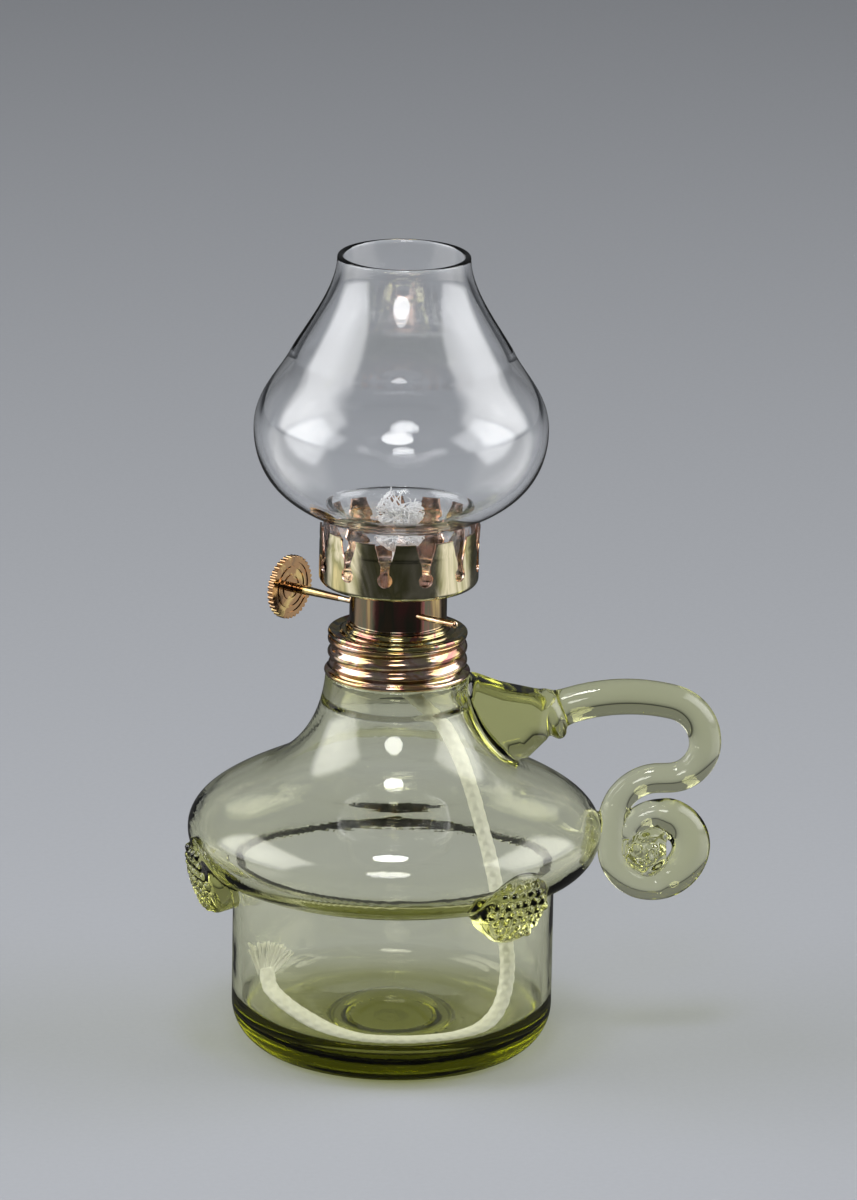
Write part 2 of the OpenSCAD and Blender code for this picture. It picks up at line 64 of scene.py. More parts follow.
def make_camera():
    """Looks at the lamp's axis from the front, a little from the left and above."""
    data = bpy.data.cameras.new("camera")
    data.lens = CAMERA_LENS
    data.sensor_width = 36
    data.shift_x = (IMAGE_SIZE[0] / 2 - AIM_PIXEL[0]) / IMAGE_SIZE[1]
    data.shift_y = (AIM_PIXEL[1] - IMAGE_SIZE[1] / 2) / IMAGE_SIZE[1]
    data.clip_start, data.clip_end = 0.05, 60
    camera = bpy.data.objects.new("camera", data)
    back = Vector((
        math.sin(CAMERA_AZIMUTH) * math.cos(CAMERA_ELEVATION),
        -math.cos(CAMERA_AZIMUTH) * math.cos(CAMERA_ELEVATION),
        math.sin(CAMERA_ELEVATION),
    ))
    camera.location = AIM + back * CAMERA_DISTANCE
    camera.rotation_mode = "QUATERNION"
    camera.rotation_quaternion = (-back).to_track_quat("-Z", "Y") @ Quaternion((0, 0, 1), CAMERA_ROLL)
    bpy.context.scene.collection.objects.link(camera)
    bpy.context.scene.camera = camera


make_camera()

# The free wick's route, in millimetres, from inside the wick tube to where its fringe begins

TAIL_ROUTE = [
    (0, 0, 84.2), (0, 0, 82.4), (0.8, -0.7, 80), (2.6, -2.2, 77.4), (5.2, -4.4, 74.6), (8.4, -7, 70.6),
    (11.2, -9.4, 65), (13.6, -11.6, 58.4), (15.8, -13.6, 51), (17.6, -15.6, 44), (19, -17.4, 37),
    (20, -18.8, 30), (20.6, -19.8, 23.6), (20.2, -20.4, 18), (18.4, -21.8, 13.4), (14.6, -24, 10.4),
    (9.4, -25.2, 9), (3.4, -26.2, 8.7), (-3, -26.2, 8.7), (-9.4, -24.8, 9), (-15, -22.2, 10.2),
    (-20.2, -18.6, 12.4), (-24.2, -14.6, 14.6), (-26.2, -10.8, 16.4), (-26.7, -8.6, 19.4),
]
FRINGE_WAY = Vector((0.25, 0.3, 1)).normalized()
FRINGE_LENGTH = 6.0

# Sizes, in millimetres

BASE_R = 33.1
CORNER_R = 9.5
FOLD_Z = 37.6
BULGE_R = 42.6
BULGE_Z = 46.4
NECK_R = 14.7
NECK_Z = 79.8
GLASS_WALL = 1.8
FLOOR_T = 7.0
MOUND_H = 3.6
FLOOR_ROUND = 5.0
PONTIL_R, PONTIL_W, PONTIL_H = 10.0, 4.0, 0.9
MOUTH_R, MOUTH_H = 12.1, 3.8
KNEE_IN, KNEE_UP = 0.47, 0.38

ROD_R = 3.2
ROOT_X = 31.8
SCROLL_R, SCROLL_TOP_R = 8.7, 7.3
UPRIGHT_L = 5.4
SWAN_R, LEVEL_L = 9.3, 2.4
GRIP_LOW_R, GRIP_TOP_R, ARCH_R = 7.3, 9.4, 40.0
ARCH_END = math.radians(75)
GATHER_W = 12.5
BEAD_R, BEAD_T = 3.9, 1.5
SCROLL = (54.2, 41.0)
HEEL_R, HEEL_TURN = 7.2, 1.1
TWIST = (52.5, 40.4)

PRUNT_R, PRUNT_H = 8.2, 3.6
PRUNT_TILT = math.radians(14)
BERRY_R, BERRY_PITCH = 1.0, 2.1
PRUNT_PLACES = ((188, 0.9), (-60, 1.7))

SHEET_T = 0.5
COLLAR_R, COLLAR_LIP_R = 14.35, 15.0
COLLAR_BORE = 13.35
THREAD_PITCH = 2.85
DECK_Z, DRUM_Z = 88.0, 90.4
DRUM_R, DRUM_H = 10.0, 8.8
FLOOR_Z = DRUM_Z + DRUM_H
SEAT_Z = FLOOR_Z + SHEET_T
PRONG_Z = SEAT_Z + 11.7
CUP_R = 15.85
PRONGS = 12
SLOT_TURN = math.radians(-48)
SHAFT_Z = 94.5
SHAFT_R = 0.55
SHAFT_OFFSET = 4.6
SHAFT_TURN = math.radians(-45)
SHAFT_TIP = 18
WHEEL_REACH = 24.6
TUBE_R = 2.3

FITTER_R, FITTER_H = 15.5, 13.5
CHIMNEY_R, CHIMNEY_BULGE_H = 30.1, 32.3
CHIMNEY_H, CHIMNEY_TOP_R, CHIMNEY_WALL = 68.5, 13.6, 1.3

WICK_R = 1.5
WICK_LOW_Z, CROWN_Z = 89.2, 106.3
CROWN_H, CROWN_R = 13.0, 5.4

# Curves


def bezier(points, steps):
    """Points on a cubic curve, without its first point."""
    p = np.array(points, float)
    t = np.linspace(0, 1, steps + 1)[1:, None]
    u = 1 - t
    return [tuple(q) for q in u**3 * p[0] + 3 * u * u * t * p[1] + 3 * u * t * t * p[2] + t**3 * p[3]]


def arc(centre, rx, rz, start, end, steps):
    """Points on an arc of an ellipse, from angle start to angle end, in degrees."""
    a = np.radians(np.linspace(start, end, steps + 1))
    return [(centre[0] + rx * math.cos(t), centre[1] + rz * math.sin(t)) for t in a]


def smooth_path(points, step):
    """Points about a step apart on a smooth curve through the given ones."""
    p = np.array(points, float)
    ends = np.vstack([2 * p[0] - p[1], p, 2 * p[-1] - p[-2]])
    out = [p[0]]
    for i in range(len(p) - 1):
        a, b, c, d = ends[i : i + 4]
        n = max(1, round(np.linalg.norm(c - b) / step))
        for t in np.arange(1, n + 1) / n:
            out.append(0.5 * (2 * b + (c - a) * t + (2 * a - 5 * b + 4 * c - d) * t**2
                              + (3 * b - a - 3 * c + d) * t**3))
    return np.array(out)


# Meshes


def new_piece(name, points, faces, smooth=True):
    """A mesh object from points in millimetres."""
    mesh = bpy.data.meshes.new(name)
    mesh.from_pydata([tuple(p) for p in np.asarray(points, float) * MM], [], [tuple(f) for f in faces])
    mesh.validate()
    if smooth:
        mesh.shade_smooth()
    piece = bpy.data.objects.new(name, mesh)
    bpy.context.scene.collection.objects.link(piece)
    return piece


def grid_faces(rows, columns, close_rows=False, close_columns=True):
    """Quads of a grid of points, kept row by row."""
    faces = []
    for i in range(rows if close_rows else rows - 1):
        k = (i + 1) % rows
        for j in range(columns if close_columns else columns - 1):
            m = (j + 1) % columns
            faces.append((i * columns + j, i * columns + m, k * columns + m, k * columns + j))
    return faces


def lathe(name, outline, segments=160, closed=True, shape=None):
    """Turns an outline of (radius, height) points round the lamp's axis. shape moves the points if given."""
    r, z = np.array(outline, float).T
    a = np.linspace(0, 2 * math.pi, segments, endpoint=False)
    points = np.stack([
        r[:, None] * np.cos(a)[None, :],
        r[:, None] * np.sin(a)[None, :],
        np.repeat(z[:, None], segments, axis=1),
    ], axis=2).reshape(-1, 3)
    if shape:
        points = shape(points)
    faces = grid_faces(len(outline), segments, close_rows=closed)
    return new_piece(name, points, faces)


def frames_along(path):
    """Heading, side and third direction at each point of a path, turning as little as possible."""
    heading = np.gradient(path, axis=0)
    heading /= np.linalg.norm(heading, axis=1)[:, None]
    side = np.cross(heading[0], (0.3, 1, 0.2))
    sides = []
    for h in heading:
        side = side - np.dot(side, h) * h
        side /= np.linalg.norm(side)
        sides.append(side)
    sides = np.array(sides)
    return heading, sides, np.cross(heading, sides)


def tube(name, path, radius, sides=12, cap=True):
    """A tube along a path. radius is a number, one for each point, or a function of (index, angle)."""
    path = np.asarray(path, float)
    _, u, v = frames_along(path)
    a = np.linspace(0, 2 * math.pi, sides, endpoint=False)
    if callable(radius):
        r = radius(np.arange(len(path))[:, None], a[None, :])
    else:
        r = np.broadcast_to(np.asarray(radius, float).reshape(-1, 1), (len(path), 1))
    ring = np.cos(a)[None, :, None] * u[:, None] + np.sin(a)[None, :, None] * v[:, None]
    points = (path[:, None] + r[:, :, None] * ring).reshape(-1, 3)
    faces = grid_faces(len(path), sides)
    if cap:
        faces.append(tuple(range(sides))[::-1])
        faces.append(tuple((len(path) - 1) * sides + k for k in range(sides)))
    return new_piece(name, points, faces)


def join(pieces, name):
    """One object from several."""
    with bpy.context.temp_override(active_object=pieces[0], selected_editable_objects=pieces):
        bpy.ops.object.join()
    pieces[0].name = name
    pieces[0].data.name = name
    return pieces[0]


def apply_modifiers(piece):
    """Replaces a piece's mesh by what its modifiers make of it."""
    bpy.context.view_layer.update()
    made = piece.evaluated_get(bpy.context.evaluated_depsgraph_get())
    mesh = bpy.data.meshes.new_from_object(made)
    piece.modifiers.clear()
    piece.data = mesh
    return piece


# The green glass. Every part of it is a distance field, and they melt into one skin.


def foot_outline():
    """The fount's outside from the axis under the foot to the neck."""
    return (
        [(0, 0)]
        + arc((PONTIL_R, 0), PONTIL_W / 2, PONTIL_H, 180, 0, 12)
        + arc((BASE_R - CORNER_R, CORNER_R), CORNER_R, CORNER_R, -90, 0, 24)
    )


def fount_side(wall):
    """The fount's side line from the fold to the neck, drawn in by a wall."""
    bulge_r = BULGE_R - wall
    knee_r = NECK_R + KNEE_IN * (BULGE_R - NECK_R) - 0.45 * wall
    knee_z = BULGE_Z + KNEE_UP * (NECK_Z - BULGE_Z) - 0.9 * wall
    neck_r = NECK_R - wall
    run_r, run_z = knee_r - neck_r, NECK_Z - knee_z
    return (
        arc((BASE_R - wall, BULGE_Z), bulge_r - BASE_R + wall, BULGE_Z - FOLD_Z - wall, -90, 0, 24)
        + bezier([
            (bulge_r, BULGE_Z), (bulge_r, BULGE_Z + 0.44 * (knee_z - BULGE_Z)),
            (knee_r + 0.58 * (bulge_r - knee_r), knee_z - 0.33 * (knee_z - BULGE_Z)), (knee_r, knee_z),
        ], 24)
        + bezier([
            (knee_r, knee_z), (knee_r - 0.57 * run_r, knee_z + 0.17 * run_z),
            (neck_r + 0.05 * run_r, knee_z + 0.51 * run_z), (neck_r, NECK_Z),
        ], 28)
    )


def fount_outline():
    """The whole outside, up to the glass mouth inside the collar."""
    return foot_outline() + fount_side(0) + [(MOUTH_R, NECK_Z), (MOUTH_R, NECK_Z + MOUTH_H), (0, NECK_Z + MOUTH_H)]


def hollow_outline():
    """The inside, from the mound in the floor up through the mouth."""
    flat_r = BASE_R - GLASS_WALL - FLOOR_ROUND
    top = FLOOR_T + MOUND_H
    floor = [(0, top)] + bezier([(0, top), (0.3 * flat_r, top), (0.48 * flat_r, FLOOR_T), (flat_r, FLOOR_T)], 24)
    corner = arc((flat_r, FLOOR_T + FLOOR_ROUND), FLOOR_ROUND, FLOOR_ROUND, -90, 0, 16)
    mouth = MOUTH_R - GLASS_WALL
    side = [
        (min(r, mouth + 0.45 * (NECK_Z - z)) if z > NECK_Z - 6 else r, z)
        for r, z in fount_side(GLASS_WALL)
    ]
    return floor + corner + side + [(mouth, NECK_Z), (mouth, NECK_Z + MOUTH_H + 4), (0, NECK_Z + MOUTH_H + 4)]


def handle_line():
    """The rod's middle line as (x, z) points, from its gather down to the inner end of the scroll."""
    upright_x = BULGE_R + ROD_R - 0.3
    scroll = (upright_x + SCROLL_R, BULGE_Z - UPRIGHT_L)
    close = (upright_x + 2 * SCROLL_R - SCROLL_TOP_R, scroll[1])
    hook_gap = 2 * SCROLL_R - SCROLL_TOP_R - ROD_R
    hook_r = hook_gap + 1.1
    hook = (close[0], close[1] + SCROLL_TOP_R - hook_r)
    hook_end = math.degrees(math.acos(-hook_gap / hook_r))
    swan = (upright_x + SWAN_R, BULGE_Z)
    low = (swan[0] + LEVEL_L, BULGE_Z + SWAN_R + GRIP_LOW_R)
    top = (low[0] + GRIP_LOW_R - GRIP_TOP_R, low[1])
    arch = (
        top[0] + (GRIP_TOP_R - ARCH_R) * math.cos(ARCH_END),
        top[1] + (GRIP_TOP_R - ARCH_R) * math.sin(ARCH_END),
    )
    root = math.degrees(math.acos((ROOT_X - arch[0]) / ARCH_R))
    return (
        arc(arch, ARCH_R, ARCH_R, root, 75, 60)
        + arc(top, GRIP_TOP_R, GRIP_TOP_R, 75, 0, 40)[1:]
        + arc(low, GRIP_LOW_R, GRIP_LOW_R, 0, -90, 36)[1:]
        + arc(swan, SWAN_R, SWAN_R, 90, 180, 40)
        + arc(scroll, SCROLL_R, SCROLL_R, 180, 360, 80)
        + arc(close, SCROLL_TOP_R, SCROLL_TOP_R, 0, 90, 36)[1:]
        + arc(hook, hook_r, hook_r, 90, hook_end, 24)[1:]
    )


class Table:
    """Values over a plane, read back between its points."""

    def __init__(self, low, high, step):
        self.low, self.step = np.array(low, float), step
        counts = np.ceil((np.array(high) - low) / step).astype(int) + 1
        self.x, self.z = np.meshgrid(*(l + step * np.arange(n) for l, n in zip(low, counts)), indexing="ij")

    def read(self, values, x, z):
        """The values at other points, by straight lines between the table's."""
        fx = np.clip((x - self.low[0]) / self.step, 0, values.shape[0] - 1.001)
        fz = np.clip((z - self.low[1]) / self.step, 0, values.shape[1] - 1.001)
        i, k = fx.astype(int), fz.astype(int)
        u, v = fx - i, fz - k
        return (
            values[i, k] * (1 - u) * (1 - v) + values[i + 1, k] * u * (1 - v)
            + values[i, k + 1] * (1 - u) * v + values[i + 1, k + 1] * u * v
        )


def nearest_on_line(points, x, z):
    """Distance to a line of points, and how far along it the nearest place is, in points."""
    p = np.array(points, float)
    best = np.full(x.shape, 1e9)
    along = np.zeros(x.shape)
    for i in range(len(p) - 1):
        a, d = p[i], p[i + 1] - p[i]
        long = max(float(d @ d), 1e-12)
        t = np.clip(((x - a[0]) * d[0] + (z - a[1]) * d[1]) / long, 0, 1)
        q = (x - a[0] - t * d[0]) ** 2 + (z - a[1] - t * d[1]) ** 2
        near = q < best
        best = np.where(near, q, best)
        along = np.where(near, i + t, along)
    return np.sqrt(best), along


def inside_outline(points, x, z):
    """True inside a closed outline, by counting crossings."""
    p = np.array(points, float)
    inside = np.zeros(x.shape, bool)
    for (ax, az), (bx, bz) in zip(p, np.roll(p, -1, axis=0)):
        if az == bz:
            continue
        crosses = ((az > z) != (bz > z)) & (x < (bx - ax) * (z - az) / (bz - az) + ax)
        inside ^= crosses
    return inside


def outline_field(points, low, high, step):
    """Signed distance to an outline whose first and last points lie on the axis, as a function of (r, z)."""
    table = Table(low, high, step)
    distance, _ = nearest_on_line(points, table.x, table.z)
    first, last = points[0], points[-1]
    ring = [(-9, first[1])] + list(points) + [(-9, last[1])]
    values = np.where(inside_outline(ring, table.x, table.z), -distance, distance)
    return lambda r, z: table.read(values, r, z)


def rod_radius(along, length):
    """The rod is stoutest under the arch, slimmer round the grip, and flares where it meets its gather."""
    s = along / length
    places = [0, 0.12, 0.3, 0.42, 0.5, 0.56, 0.68, 0.81, 0.925, 1.0]
    slim = np.interp(s, places, [3.75, 3.7, 3.35, 3.1, 2.95, 2.95, 2.95, 3.2, 2.8, 2.7])
    flare = 0.9 * np.exp(-((s / 0.016) ** 2))
    return slim + flare


def blend_union(a, b, reach):
    """Two solids melted together over a reach."""
    h = np.clip(reach - np.abs(a - b), 0, None) / reach
    return np.minimum(a, b) - h * h * reach / 4


def cut_away(a, b, reach):
    """Solid a without solid b, with the edge rounded over a reach."""
    return -blend_union(-a, b, reach)


def berry_places():
    """Where a prunt's berries sit, as (u, v): rows of a honeycomb, all a little uneven."""
    rng = np.random.default_rng(SEED)
    places = []
    for row in range(-4, 5):
        for column in range(-5, 6):
            u = BERRY_PITCH * (column + 0.5 * (row % 2)) + 0.22 * rng.uniform(-1, 1)
            v = BERRY_PITCH * 0.866 * row + 0.22 * rng.uniform(-1, 1)
            if math.hypot(u, v) < PRUNT_R - 1.3:
                places.append((u, v))
    return places


class Glass:
    """The distance field of all the green glass."""

    def __init__(self):
        self.outside = outline_field(fount_outline(), (0, -3), (60, 90), 0.2)
        self.hollow = outline_field(hollow_outline(), (0, -3), (60, 92), 0.2)
        line = handle_line()
        self.rod_table = Table((18, 20), (76, 90), 0.2)
        self.rod_distance, along = nearest_on_line(line, self.rod_table.x, self.rod_table.z)
        self.rod_size = rod_radius(along, len(line) - 1)
        self.root = line[0]
        self.root_way = np.array(line[1]) - line[0]
        self.root_way /= np.linalg.norm(self.root_way)
        self.prunts = [self.prunt_frame(*place) for place in PRUNT_PLACES]
        self.berries = berry_places()
        self.gather_table = Table((0, 50), (44, 90), 0.2)
        outline = self.gather_outline()
        distance, _ = nearest_on_line(outline + outline[:1], self.gather_table.x, self.gather_table.z)
        inside = inside_outline(outline, self.gather_table.x, self.gather_table.z)
        self.gather_distance = np.where(inside, -distance, distance)

    def gather_outline(self):
        """The lump between neck and shoulder, seen from the side."""
        x, z = self.root
        return [
            (NECK_R - 3, NECK_Z - 1.0), (NECK_R + 2.0, NECK_Z - 1.2), (22, z + 6.2), (x - 3, z + 4.6),
            (x + 0.4, z + 4.0), (x - 0.6, z - 4.6), (x - 4.5, z - 8.5), (NECK_R - 3, z - 12),
        ]

    def prunt_frame(self, turn, lift):
        """Centre and directions of a prunt pressed on where the bulge turns under."""
        a = math.radians(turn)
        out = np.array((math.cos(a) * math.cos(PRUNT_TILT), math.sin(a) * math.cos(PRUNT_TILT), -math.sin(PRUNT_TILT)))
        side = np.array((-math.sin(a), math.cos(a), 0))
        centre = np.array(((BULGE_R - 3) * math.cos(a), (BULGE_R - 3) * math.sin(a), BULGE_Z - 8.2 + lift))
        return centre, side, np.cross(out, side), out

    def rod(self, x, y, z):
        """The handle's rod and its scroll."""
        flat = self.rod_table.read(self.rod_distance, x, z)
        size = self.rod_table.read(self.rod_size, x, z)
        return np.hypot(flat, y) - size

    def bead(self, x, y, z):
        """The thick ring of glass where the rod was pressed on its gather."""
        u, v = x - self.root[0], z - self.root[1]
        along = u * self.root_way[0] + v * self.root_way[1] - 0.4
        across = v * self.root_way[0] - u * self.root_way[1] + 0.5
        return np.hypot(np.hypot(across, y) - BEAD_R, along) - BEAD_T

    def heel(self, x, y, z):
        """The stout outer side of the scroll."""
        u, v = x - SCROLL[0], z - SCROLL[1]
        turn = np.clip(np.arctan2(v, u), -HEEL_TURN, HEEL_TURN)
        return np.sqrt((u - HEEL_R * np.cos(turn)) ** 2 + (v - HEEL_R * np.sin(turn)) ** 2 + y * y) - ROD_R

    def gather(self, x, y, z):
        """The gather as a slab with well rounded edges."""
        rounding = 4.0
        flat = self.gather_table.read(self.gather_distance, x, z) + rounding
        thick = np.abs(y) - GATHER_W / 2 + rounding
        return (
            np.hypot(np.clip(flat, 0, None), np.clip(thick, 0, None))
            + np.minimum(np.maximum(flat, thick), 0) - rounding
        )

    def prunt(self, k, x, y, z):
        """A pressed button of glass with a round rim, a low dome and raised berries."""
        centre, side, up, out = self.prunts[k]
        p = np.stack([x, y, z], -1) - centre
        u, v, n = p @ side, p @ up, p @ out
        rounding = 1.5
        flat = np.hypot(u, v)
        dome = 1.3 * (1 - (flat / PRUNT_R) ** 2)
        over = flat - PRUNT_R + rounding
        high = n - (PRUNT_H - 2.1) - dome + rounding
        d = (
            np.hypot(np.clip(over, 0, None), np.clip(high, 0, None))
            + np.minimum(np.maximum(over, high), 0) - rounding
        )
        d = np.maximum(d, -4 - n)
        for bu, bv in self.berries:
            bn = PRUNT_H - 2.1 + 1.3 * (1 - (bu * bu + bv * bv) / PRUNT_R**2) - 0.15
            ball = np.sqrt((u - bu) ** 2 + (v - bv) ** 2 + (n - bn) ** 2) - BERRY_R
            d = blend_union(d, ball, 0.3)
        return d

    def twist(self, x, y, z):
        """The rod's torn end, twisted into a lump that fills the scroll."""
        cx, cz = TWIST
        u, v = x - cx, z - cz
        turn = np.arctan2(v, u)
        reach = np.hypot(u, v)
        lump = (np.sqrt((u / 5.2) ** 2 + (v / 5.6) ** 2 + (y / 3.9) ** 2) - 1) * 3.9
        folds = 0.5 * np.sin(3 * turn + 1.7 * reach) + 0.35 * np.sin(2 * turn - 2.3 * reach + 0.8 * y)
        return lump + folds * np.clip(reach / 2, 0, 1) * 0.8

    def __call__(self, x, y, z):
        r = np.hypot(x, y)
        d = self.outside(r, z)
        near = (x > 10) & (np.abs(y) < 10) & (z > 54)
        if near.any():
            d[near] = blend_union(d[near], self.gather(x[near], y[near], z[near]), 1.6)
        near = (x > 26) & (np.abs(y) < 8)
        if near.any():
            d[near] = blend_union(d[near], self.rod(x[near], y[near], z[near]), 1.0)
            d[near] = blend_union(d[near], self.heel(x[near], y[near], z[near]), 1.2)
            d[near] = blend_union(d[near], self.bead(x[near], y[near], z[near]), 0.8)
        near = np.hypot(x - TWIST[0], z - TWIST[1]) < 9
        near &= np.abs(y) < 5
        if near.any():
            d[near] = blend_union(d[near], self.twist(x[near], y[near], z[near]), 0.5)
        for k, (centre, *_) in enumerate(self.prunts):
            near = (x - centre[0]) ** 2 + (y - centre[1]) ** 2 + (z - centre[2]) ** 2 < 130
            if near.any():
                d[near] = blend_union(d[near], self.prunt(k, x[near], y[near], z[near]), 0.6)
        return cut_away(d, self.hollow(r, z), 0.6)


def gradient(field, p, step=0.12):
    """The field's slope at points p."""
    out = np.empty_like(p)
    for axis in range(3):
        ahead, behind = p.copy(), p.copy()
        ahead[:, axis] += step
        behind[:, axis] -= step
        out[:, axis] = (field(*ahead.T) - field(*behind.T)) / (2 * step)
    return out


def onto_surface(field, p, rounds=2):
    """Moves points along the slope until they lie on the field's zero surface."""
    for _ in range(rounds):
        g = gradient(field, p)
        p = p - (field(*p.T) / np.clip((g * g).sum(1), 0.2, None))[:, None] * g
    return p


def relaxed(p, quads):
    """Each point moved to the middle of its neighbours."""
    total = np.zeros_like(p)
    count = np.zeros(len(p))
    for a, b in ((0, 1), (1, 2), (2, 3), (3, 0)):
        for i, j in ((a, b), (b, a)):
            np.add.at(total, quads[:, i], p[quads[:, j]])
            np.add.at(count, quads[:, i], 1)
    return 0.5 * p + 0.5 * total / count[:, None]


def skin(name, field, low, high, step):
    """A mesh of quads over the field's zero surface: one point in every grid cell that the surface crosses."""
    axes = [np.arange(l, h + step, step) for l, h in zip(low, high)]
    x, y = np.meshgrid(axes[0], axes[1], indexing="ij")
    values = np.stack([field(x.ravel(), y.ravel(), np.full(x.size, z)).reshape(x.shape) for z in axes[2]], axis=2)
    inside = values < 0
    cells = tuple(n - 1 for n in inside.shape)
    corners = [(i, j, k) for i in (0, 1) for j in (0, 1) for k in (0, 1)]
    part = lambda c, source: source[tuple(slice(o, o + n) for o, n in zip(c, cells))]
    filled = sum(part(c, inside).astype(np.int8) for c in corners)
    mixed = (filled > 0) & (filled < 8)
    number = np.full(cells, -1)
    number[mixed] = np.arange(mixed.sum())

    # Each point starts in the middle of the places where the cell's edges cross the surface
    total = np.zeros((mixed.sum(), 3))
    count = np.zeros(mixed.sum())
    base = np.stack(np.nonzero(mixed), 1)
    for c in corners:
        for axis in range(3):
            if c[axis]:
                continue
            d = tuple(v + (m == axis) for m, v in enumerate(c))
            a = part(c, values)[mixed]
            b = part(d, values)[mixed]
            cut = (a < 0) != (b < 0)
            t = np.where(cut, a / np.where(cut, a - b, 1), 0)
            place = base + np.array(c, float)
            place[:, axis] += t
            total += np.where(cut[:, None], place, 0)
            count += cut
    points = np.array(low) + step * total / count[:, None]

    quads = []
    for axis in range(3):
        one, two = [m for m in range(3) if m != axis]
        lower = [slice(1, n) for n in inside.shape]
        lower[axis] = slice(0, inside.shape[axis] - 1)
        upper = list(lower)
        upper[axis] = slice(1, inside.shape[axis])
        a, b = inside[tuple(lower)], inside[tuple(upper)]
        where = np.stack(np.nonzero(a != b), 1)
        leaving = a[a != b]
        where[:, one] += 1
        where[:, two] += 1
        steps = np.zeros((4, 3), int)
        steps[:, one] = (-1, 0, 0, -1)
        steps[:, two] = (-1, -1, 0, 0)
        quad = np.stack([number[tuple((where + s).T)] for s in steps], 1)
        flip = leaving if axis != 1 else ~leaving
        quad[~flip] = quad[~flip][:, ::-1]
        quads.append(quad)
    quads = np.concatenate(quads)

    for _ in range(2):
        points = relaxed(onto_surface(field, points, 1), quads)
    points = onto_surface(field, points, 3)
    piece = new_piece(name, points, quads)
    normals = gradient(field, points)
    normals /= np.linalg.norm(normals, axis=1)[:, None]
    piece.data.normals_split_custom_set_from_vertices(normals)
    return piece


def make_green_glass():
    """Fount, gather, handle and prunts, which are one piece of glass in the real lamp."""
    step = 0.55
    piece = skin("green_glass", Glass(), (-45.6, -45.6, -1.2), (71.5, 45.6, 85.2), step)
    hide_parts("fount", "handle", "handle_gather", "prunt_left", "prunt_front")
    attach(piece, "fount")
    return piece


# The chimney


def chimney_side(wall):
    """The chimney's side line from the fitter to the rim, drawn in by a wall."""
    fitter_r = FITTER_R - wall
    fitter_z = SEAT_Z + FITTER_H + 0.9 * wall
    bulge_r, bulge_z = CHIMNEY_R - wall, SEAT_Z + CHIMNEY_BULGE_H
    top_r, top_z = CHIMNEY_TOP_R - wall, SEAT_Z + CHIMNEY_H - CHIMNEY_WALL / 2
    knee_r = top_r + 0.58 * (bulge_r - top_r) - 0.3 * wall
    knee_z = bulge_z + 0.42 * (top_z - bulge_z) - 0.4 * wall
    return (
        [(fitter_r, SEAT_Z + h * FITTER_H / 6) for h in range(1, 6)]
        + [(fitter_r, fitter_z)]
        + bezier([
            (fitter_r, fitter_z), (fitter_r + 0.51 * (bulge_r - fitter_r), fitter_z + 0.16 * (bulge_z - fitter_z)),
            (bulge_r, fitter_z + 0.42 * (bulge_z - fitter_z)), (bulge_r, bulge_z),
        ], 40)
        + bezier([
            (bulge_r, bulge_z), (bulge_r, bulge_z + 0.43 * (knee_z - bulge_z)),
            (knee_r + 0.33 * (bulge_r - knee_r), bulge_z + 0.7 * (knee_z - bulge_z)), (knee_r, knee_z),
        ], 24)
        + bezier([
            (knee_r, knee_z), (knee_r - 0.28 * (knee_r - top_r), knee_z + 0.25 * (top_z - knee_z)),
            (top_r, knee_z + 0.66 * (top_z - knee_z)), (top_r, top_z),
        ], 30)
    )


def make_chimney():
    """Thin blown glass with a fire polished rim."""
    rim = CHIMNEY_WALL / 2
    top_z = SEAT_Z + CHIMNEY_H
    outline = (
        arc((FITTER_R - rim, SEAT_Z + rim), rim, rim, 180, 360, 10)
        + chimney_side(0)
        + arc((CHIMNEY_TOP_R - rim, top_z - rim), rim, rim, 12, 168, 12)
        + chimney_side(CHIMNEY_WALL)[::-1]
    )
    piece = lathe("chimney_glass", outline, 256)
    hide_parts("chimney")
    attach(piece, "chimney")
    return piece


# Metal


def make_collar():
    """The rolled screw collar, whose thread is a true helix that runs out near its lip."""
    steps = 46
    segments = 192
    top = DECK_Z
    z = np.linspace(NECK_Z, top, steps)
    a = np.linspace(0, 2 * math.pi, segments, endpoint=False)
    zz, aa = np.meshgrid(z, a, indexing="ij")
    turn = (aa + math.radians(60)) % (2 * math.pi) / (2 * math.pi)
    phase = (zz - (top - 1.25) - THREAD_PITCH * (turn - 0.5)) / THREAD_PITCH
    ridge = np.sqrt(np.clip(0.5 + 0.5 * np.cos(2 * math.pi * phase), 0, 1))
    fade = np.clip((zz - NECK_Z - 1.2) / 1.2, 0, 1)
    lip = np.sqrt(np.clip(1 - ((zz - NECK_Z - 0.6) / 0.6) ** 2, 0, 1))
    r = COLLAR_BORE + 0.2 + (COLLAR_R - COLLAR_BORE - 0.2) * ridge * fade
    r = np.maximum(r, COLLAR_LIP_R - 0.6 + 0.6 * lip - 2.0 * (zz > NECK_Z + 1.2))
    outer = np.stack([r * np.cos(aa), r * np.sin(aa), zz], 2).reshape(-1, 3)
    inner_r = COLLAR_BORE
    inner = np.stack([inner_r * np.cos(aa), inner_r * np.sin(aa), zz], 2)[::-1].reshape(-1, 3)
    piece = new_piece("screw_collar", np.vstack([outer, inner]), grid_faces(2 * steps, segments, close_rows=True))
    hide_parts("collar")
    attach(piece, "fount")
    return piece


